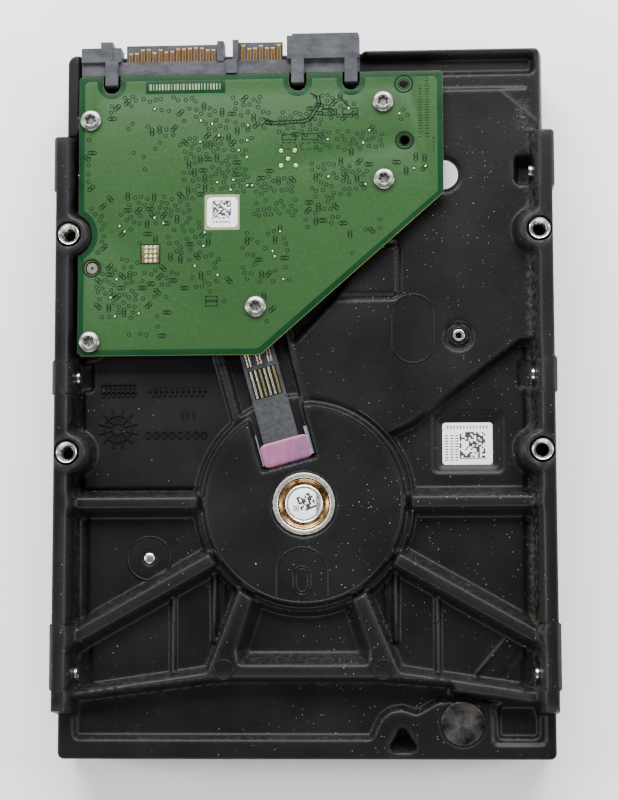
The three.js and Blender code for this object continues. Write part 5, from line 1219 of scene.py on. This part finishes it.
centre = (SPIN[0], SPIN[1], 0)
turned("sleeve_ring_turned", [(5.22, 16.56), (5.22, 17.20), (5.3, 17.33), (5.45, 17.38), (6.0, 17.38),
                              (6.2, 17.33), (6.27, 17.2), (6.27, 16.56)], centre, satin_steel, "housing", 96,
                              node="sleeve_ring", slot="plain_steel_sheet")
turned("bearing_sleeve_turned", [(2.1, 9.86), (5.15, 9.86), (5.15, 16.85), (5.08, 17.0), (4.95, 17.05),
                                 (4.72, 16.95), (4.55, 16.72), (4.3, 16.62), (4.12, 16.66), (4.0, 16.62),
                                 (3.93, 16.45), (3.9, 16.32), (2.1, 16.32)], centre, bronze, "housing", 96,
       node="bearing_sleeve", slot="bearing_bronze")
turned("thrust_plate", [(0.6, 16.40), (3.82, 16.40), (3.86, 16.55), (3.78, 16.86), (3.62, 16.93),
                        (3.45, 16.86), (3.38, 16.70), (0.6, 16.70)], centre, satin_steel, "housing", 80,
                        slot="plain_steel_sheet")
paper = mottled_finish("white_tag_film", (0.70, 0.72, 0.74), 0.45, 0.0, (700.0, 3.0), (0.66, 0.68, 0.71),
                       (0.76, 0.78, 0.79), (1800.0, 3.0), 0.00001)
ink = mottled_finish("tag_ink", (0.015, 0.015, 0.017), 0.5, 0.0, (1500.0,), (0.010, 0.010, 0.012),
                     (0.03, 0.03, 0.034), (3000.0,), 0.000003)
tag_edge = [(SPIN[0] + px, SPIN[1] + py) for px, py in circle(0, 0, 3.15, 72) if px < 2.45]
finish_piece("motor_tag_film", flat_sheet([tag_edge], 16.84, 16.95, 0.02), paper, "housing", 40, "motor_tag")


def cell_pattern(centre_x, centre_y, cell, count, turn, seed, share=0.48):
    """A plain field of square cells that says nothing: each is filled or left by chance."""
    chance = np.random.default_rng(seed).random((count, count)) < share
    rows, columns = np.nonzero(chance)
    step = np.arange(count) * cell - (count - 1) * cell / 2
    c, s = np.cos(np.radians(turn)), np.sin(np.radians(turn))
    return [(centre_x + step[i] * c - step[j] * s, centre_y + step[i] * s + step[j] * c, cell, cell, turn)
            for i, j in zip(columns, rows)]


marks = cell_pattern(SPIN[0] + 0.5, SPIN[1] + 0.35, 0.40, 8, 22, 5, 0.6)
marks = [cell for cell in marks if np.hypot(cell[0] - SPIN[0] + 1.55, cell[1] - SPIN[1] + 0.95) > 1.0]
frame_x, frame_y = SPIN[0] - 1.55, SPIN[1] - 0.95
frame_corners = [(-0.45, -0.45), (0.45, -0.45), (0.45, 0.45), (-0.45, 0.45), (-0.45, -0.45)]
marks += lines([[(frame_x + px, frame_y + py) for px, py in frame_corners]], 0.15)
marks += [(frame_x, frame_y, 0.36, 0.36, 0)]
make_piece("motor_tag_marks", *flat_blocks(marks, 16.93, 16.965), ink, "housing", 40, slot="white_film")

# ---- Tags and seals ------------------------------------------------------------------------------
# Two square film tags carry a meaningless field of cells. A foil disc closes the air test hole at the rear
# edge, and a grey film disc closes another beside the board.


def rounded_box(x0, x1, y0, y1, corner):
    """A rectangle's outline with round corners."""
    points = []
    for cx, cy, start in ((x1 - corner, y1 - corner, 0), (x0 + corner, y1 - corner, 90),
                          (x0 + corner, y0 + corner, 180), (x1 - corner, y0 + corner, 270)):
        points += arc_points(cx, cy, corner, start, start + 90, 8)
    return points


ground = mottled_finish("tag_ground_print", (0.20, 0.22, 0.10), 0.5, 0.0, (1500.0, 4.0), (0.09, 0.13, 0.06),
                        (0.26, 0.26, 0.14), (2500.0,), 0.000008)
finish_piece("board_tag_ground", flat_sheet([rounded_box(-20.0, -12.9, 32.9, 40.2, 0.2)], 18.62, 18.645,
                                            0.008),
             ground, "housing", 40)
finish_piece("board_tag_film", flat_sheet([rounded_box(-19.5, -13.3, 33.4, 39.6, 0.9)], 18.64, 18.74, 0.03),
             paper, "housing", 40, "board_tag")
marks = cell_pattern(-16.4, 37.0, 0.30, 12, 0, 11)
marks += [(-16.4, 38.85, 3.66, 0.16, 0)] + [(-18.3, 37.0, 3.6, 0.16, 90)]
marks += [(x, 34.55, 0.24, 0.5, 0) for x in np.arange(-18.1, -14.5, 0.52)]
make_piece("board_tag_marks", *flat_blocks(marks, 18.73, 18.755), ink, "housing", 40, slot="white_film")
finish_piece("casting_tag_film", flat_sheet([rounded_box(27.85, 37.95, -14.75, -6.25, 0.6)], 12.62, 12.73,
                                            0.03),
             paper, "housing", 40, "casting_tag")
marks = cell_pattern(33.9, -10.7, 0.37, 14, 0, 12)
marks += [(33.9, -13.45, 5.3, 0.2, 0)]
marks += [(x, -7.15, 0.24, 0.62, 0) for x in np.arange(28.9, 37.0, 0.66)]
marks += [(x, y, 0.62, 0.22, 0) for x in (28.7, 29.75, 30.75) for y in np.arange(-13.8, -8.4, 0.55)]
make_piece("casting_tag_marks", *flat_blocks(marks, 12.72, 12.745), ink, "housing", 40, slot="white_film")


def film_disc(name, x, y, radius, base, crown, finish, node, slot, seed, crumple):
    """A thin round film: rings of points out from its middle, with a soft crumple that fades at the edge."""
    steps = 72
    angle = np.linspace(0, 2 * np.pi, steps, endpoint=False)
    share = np.r_[0.03, np.linspace(0.1, 0.92, 16), 0.965, 0.99, 1.0]
    px, py = share[:, None] * radius * np.cos(angle), share[:, None] * radius * np.sin(angle)
    draw = np.random.default_rng(seed)
    waves = sum(draw.uniform(0.3, 1) * np.sin(px * fx + py * fy + draw.uniform(0, 6))
                for fx, fy in draw.uniform(-2.2, 2.2, (7, 2)))
    fade = np.clip((1 - share[:, None]) / 0.15, 0, 1)
    top = base + crown + crumple * waves * fade - 0.05 * (share[:, None] > 0.995)
    upper = np.stack([x + px, y + py, top], -1).reshape(-1, 3)
    rim = np.stack([x + px[-1], y + py[-1], np.full(steps, base - 0.05)], -1)
    points = np.concatenate([upper, rim])
    faces = ring_faces(len(points) // steps, steps)
    piece = make_piece(name, points, faces, finish, "housing", 60, node, slot)
    turn_outward(piece.data)


foil, tree, shader, place = new_finish("smeared_foil", (0.36, 0.34, 0.32), 0.3, 0.9)
smear = noise(tree, place, 260.0, 5.0, 0.6)
tint = noise(tree, place, 130.0, 2.0)
metal = blend(tree, stretch(tree, smear, 0.38, 0.66), (0.007, 0.007, 0.007), (0.13, 0.125, 0.12))
paint(tree, shader, "Base Color", blend(tree, stretch(tree, tint, 0.5, 0.68, 0.0, 0.6), metal,
                                        (0.13, 0.075, 0.045)))
paint(tree, shader, "Roughness", stretch(tree, smear, 0.3, 0.7, 0.22, 0.42))
emboss(tree, shader, noise(tree, place, 700.0, 5.0), 0.00008)
film_disc("foil_seal_film", 31.4, -66.4, 4.3, 14.24, 0.08, foil, "foil_seal", "foil", 3, 0.006)
grey_film = mottled_finish("grey_seal_film", (0.50, 0.51, 0.52), 0.38, 0.35, (350.0, 4.0), (0.40, 0.41, 0.42),
                           (0.60, 0.61, 0.62), (900.0, 3.0), 0.00004)
film_disc("seal_disc_film", 28.5, 44.1, 2.95, 16.03, 0.12, grey_film, "seal_disc", "grey_seal", 4, 0.004)

# ---- Cover ---------------------------------------------------------------------------------------
# The other face is closed by one pressed steel plate: a raised middle with stepped edges over a foam seal,
# six screws round its border and one in the arm's pivot. A printed film label covers its middle.
sheet_steel, tree, shader, place = new_finish("plain_steel_sheet", (0.56, 0.57, 0.58), 0.36, 1.0)
rolled = noise(tree, along_grain(tree, place, (60.0, 1800.0, 400.0)), 1.0, 4.0)
paint(tree, shader, "Base Color", blend(tree, rolled, (0.48, 0.49, 0.50), (0.64, 0.65, 0.66)))
paint(tree, shader, "Roughness", stretch(tree, rolled, 0.3, 0.7, 0.28, 0.44))
emboss(tree, shader, rolled, 0.000006)
RAISED_EDGE = [(-42.3, -59.5), (-34.8, -66.5), (34.8, -66.5), (42.3, -59.5), (42.3, 57.5), (38.8, 62.5),
               (-38.8, 62.5), (-42.3, 57.5)]
COVER_SCREWS = [(-45.0, 66.495), (45.0, 66.495), (-46.6, 14.005), (46.6, 14.005), (-45.4, -69.495),
                (45.4, -69.495)]


def cover_face(x, y):
    """Height of the cover's outer face: low in the raised middle, up at the flange, with dished screw seats
    and a shallow bed for the label."""
    middle = outline_distance(x, y, RAISED_EDGE)
    z = 1.0 - 0.98 * wall(middle + 0.6, 1.5)
    z = z + 0.11 * wall(middle + 4.0, 0.5)
    for ex, ey in COVER_SCREWS:
        z = z + 0.12 * wall(np.hypot(x - ex, y - ey) - 2.4, 0.6)
    z = z + 0.85 * wall(np.hypot(x + 20, y - 31) - 3.3, 0.6)
    edge = np.minimum(casting_half_width(y) - 0.3 - np.abs(x),
                      np.minimum(y - REAR - 0.3, FRONT_EDGE - 0.3 - y))
    return z + 0.3 * (1 - np.sqrt(1 - np.clip(1 - edge / 0.35, 0, 1) ** 2))


steps = np.array([0, 0.08, 0.2, 0.4])
cover_rows = np.r_[REAR + 0.3 + steps, np.linspace(REAR + 1.0, FRONT_EDGE - 1.0, 240),
                   FRONT_EDGE - 0.3 - steps[::-1]]
cover_across = np.r_[steps - BODY_HALF, np.linspace(-49.5, 49.5, 170), BODY_HALF - steps[::-1]] / BODY_HALF
cover_half = np.minimum(casting_half_width(cover_rows), BODY_HALF) - 0.3
cover_x = cover_across[None, :] * cover_half[:, None]
cover_y = np.repeat(cover_rows[:, None], len(cover_across), axis=1)
cover_z = np.maximum(cover_face(cover_x, cover_y), 0.02)
inner_z = np.maximum(cover_z + 0.75, 0.78)
number = np.arange(cover_z.size).reshape(cover_z.shape)
above = number + cover_z.size
faces = grid_quads(number, up=False)
faces += grid_quads(above)
loop = border(number)
faces += np.c_[loop, np.roll(loop, -1), np.roll(loop, -1) + cover_z.size, loop + cover_z.size].tolist()
both = np.concatenate([np.stack([cover_x, cover_y, cover_z], -1).reshape(-1, 3),
                       np.stack([cover_x, cover_y, inner_z], -1).reshape(-1, 3)])
make_piece("top_cover_pressed", both, faces, sheet_steel, "housing", 40, "top_cover", "plain_steel_sheet")

label_white = mottled_finish("cover_label_film", (0.74, 0.74, 0.73), 0.42, 0.0, (500.0, 3.0),
                             (0.70, 0.70, 0.69), (0.78, 0.78, 0.77), (900.0, 3.0), 0.00001)
label_edge = [(x - np.sign(x) * 4.3, y - np.sign(y) * 4.3) for x, y in RAISED_EDGE]
finish_piece("cover_label_sheet", flat_sheet([label_edge, circle(-20, 31, 4.6, 40)], 0.03, 0.11, 0.02),
             label_white, "housing", 40, "cover_label")
grey_ink = mottled_finish("label_grey_print", (0.10, 0.16, 0.18), 0.45, 0.0, (900.0,), (0.085, 0.14, 0.16),
                          (0.12, 0.19, 0.21), (2000.0,), 0.000004)
make_piece("cover_label_band", *flat_blocks([(0, 50.5, 62, 6.0, 0)], 0.005, 0.035), grey_ink, "housing", 40,
           slot="white_film")
draw = np.random.default_rng(8)
marks = [(x, 2.0, 9.0, w, 90) for x, w in zip(np.arange(-30, 4, 0.95), draw.choice([0.28, 0.45, 0.62], 36))]
marks += [(x, -12.0, 6.0, w, 90) for x, w in zip(np.arange(-30, -4, 0.95),
                                                 draw.choice([0.28, 0.45, 0.62], 28))]
marks += cell_pattern(24, -4, 0.85, 16, 0, 21)
for row_y, end in ((36, 30), (31.5, 24), (27, 28), (22.5, 20), (-26, 30), (-30, 27), (-34, 30), (-38, 22),
                   (-46, 30), (-50, 16)):
    start = -8.0 if row_y > 20 else -32.0
    marks += [((start + end) / 2, row_y, end - start, 0.9, 0)]
make_piece("cover_label_marks", *flat_blocks(marks, 0.005, 0.035), ink, "housing", 40, slot="white_film")
for number, (screw_x, screw_y) in enumerate(COVER_SCREWS, 1):
    pan_screw(f"cover_screw_{number}", screw_x, screw_y, 1.08, 2.05, 0.86, 1.0, 6.2, bright_steel, down=True,
              turn=0.4 * number)
pan_screw("pivot_screw", -20.0, 31.0, 0.88, 2.6, 0.72, 1.1, 6.0, bright_steel, down=True)
foam, tree, shader, place = new_finish("foam", (0.012, 0.012, 0.013), 0.9)
bubbles = add_node(tree, "TexVoronoi", {"Vector": place, "Scale": 3000.0}).outputs["Distance"]
paint(tree, shader, "Base Color", blend(tree, bubbles, (0.006, 0.006, 0.007), (0.03, 0.03, 0.032)))
emboss(tree, shader, bubbles, 0.00006)

# ---- Parts under the board and inside ------------------------------------------------------------
# The chips, motor, platter, head arm, magnets and latch keep the CAD's shapes: machined, stamped, moulded or
# wound. Each has its own finish, and the moulded parts that stand on the board have their edges eased.


def plain_finish(name, dark, pale, low_rough, high_rough, metallic, scale, height, squash=(1, 1, 1)):
    """A finish that drifts between two colours and two degrees of gloss, with fine relief at one scale."""
    material, tree, shader, place = new_finish(name, dark, low_rough, metallic)
    spread = along_grain(tree, place, squash)
    drift = noise(tree, spread, scale, 4.0)
    paint(tree, shader, "Base Color", blend(tree, stretch(tree, drift, 0.3, 0.7), dark, pale))
    paint(tree, shader, "Roughness", stretch(tree, drift, 0.3, 0.7, low_rough, high_rough))
    emboss(tree, shader, noise(tree, spread, scale * 2.5, 3.0), height)
    return material


machined = plain_finish("machined_aluminium", (0.52, 0.53, 0.54), (0.72, 0.72, 0.73), 0.24, 0.4, 1.0, 900,
                        6e-6, (1, 1, 6))
mirror = plain_finish("platter_mirror", (0.70, 0.70, 0.72), (0.78, 0.78, 0.79), 0.03, 0.07, 1.0, 60, 2e-7)
winding = plain_finish("copper_wire", (0.42, 0.15, 0.06), (0.66, 0.30, 0.14), 0.26, 0.4, 0.9, 1800, 3e-5,
                       (1, 1, 3))
core = plain_finish("core_steel", (0.20, 0.20, 0.21), (0.34, 0.34, 0.35), 0.4, 0.6, 0.9, 1200, 1e-5,
                    (1, 1, 12))
nickel = plain_finish("magnet_nickel", (0.56, 0.55, 0.52), (0.70, 0.69, 0.66), 0.22, 0.34, 1.0, 500, 8e-6)
ferrite = plain_finish("ferrite", (0.030, 0.030, 0.032), (0.055, 0.055, 0.058), 0.5, 0.7, 0.2, 1600, 2e-5)
chip_resin = plain_finish("chip_resin", (0.010, 0.010, 0.011), (0.022, 0.022, 0.024), 0.45, 0.62, 0.0, 1800,
                          1.2e-5)
spring = plain_finish("stainless_spring", (0.56, 0.56, 0.56), (0.70, 0.70, 0.70), 0.18, 0.3, 1.0, 1200, 4e-6,
                      (6, 1, 1))
rubber = plain_finish("rubber_seal", (0.010, 0.010, 0.011), (0.020, 0.020, 0.021), 0.7, 0.9, 0.0, 1400,
                      1.5e-5)
felt = plain_finish("filter_felt", (0.60, 0.60, 0.57), (0.78, 0.78, 0.75), 0.85, 1.0, 0.0, 1300, 9e-5)
ramp_resin = plain_finish("ramp_resin", (0.62, 0.58, 0.47), (0.72, 0.68, 0.57), 0.4, 0.55, 0.0, 700, 8e-6)
latch_resin = plain_finish("latch_resin", (0.015, 0.015, 0.017), (0.03, 0.03, 0.032), 0.4, 0.55, 0.0, 900,
                           8e-6)
ceramic = plain_finish("slider_ceramic", (0.02, 0.02, 0.022), (0.04, 0.04, 0.044), 0.15, 0.3, 0.3, 2500, 2e-6)
brown_plastic = plain_finish("pin_block_plastic", (0.030, 0.024, 0.018), (0.050, 0.040, 0.030), 0.45, 0.6,
                             0.0, 900, 1e-5)
pin_gold = plain_finish("pin_gold", (0.48, 0.34, 0.13), (0.66, 0.50, 0.24), 0.2, 0.34, 0.95, 1400, 5e-6)
eased_copy("service_pins", "service_pin_row", 0.07, 2, pin_gold, "housing")
eased_copy("controller_chip", "controller_chip_body", 0.12, 2, chip_resin, "housing")
eased_copy("motor_driver_chip", "motor_driver_chip_body", 0.12, 2, chip_resin, "housing")
eased_copy("head_connector", "head_connector_body", 0.15, 2, brown_plastic, "housing")
INSIDE = {
    "board_insulator": foam, "cover_gasket": rubber, "dust_filter": felt, "stator_core": core,
    "stator_windings": winding, "motor_hub": machined, "spindle_shaft": bright_steel, "rotor_magnet": ferrite,
    "platter": mirror, "disk_clamp": machined, "clamp_screw": bright_steel, "head_arm": machined,
    "pivot_bearing": satin_steel, "voice_coil": winding, "suspension_upper": spring,
    "suspension_lower": spring, "head_slider_upper": ceramic, "head_slider_lower": ceramic,
    "pivot_shaft": satin_steel, "magnet_yoke_upper": core, "magnet_yoke_lower": core,
    "arm_magnet_upper": nickel, "arm_magnet_lower": nickel, "crash_stop": rubber, "parking_ramp": ramp_resin,
    "arm_latch": latch_resin,
}
for node_name, finish in INSIDE.items():
    for material_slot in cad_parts[node_name].material_slots:
        material_slot.material = finish
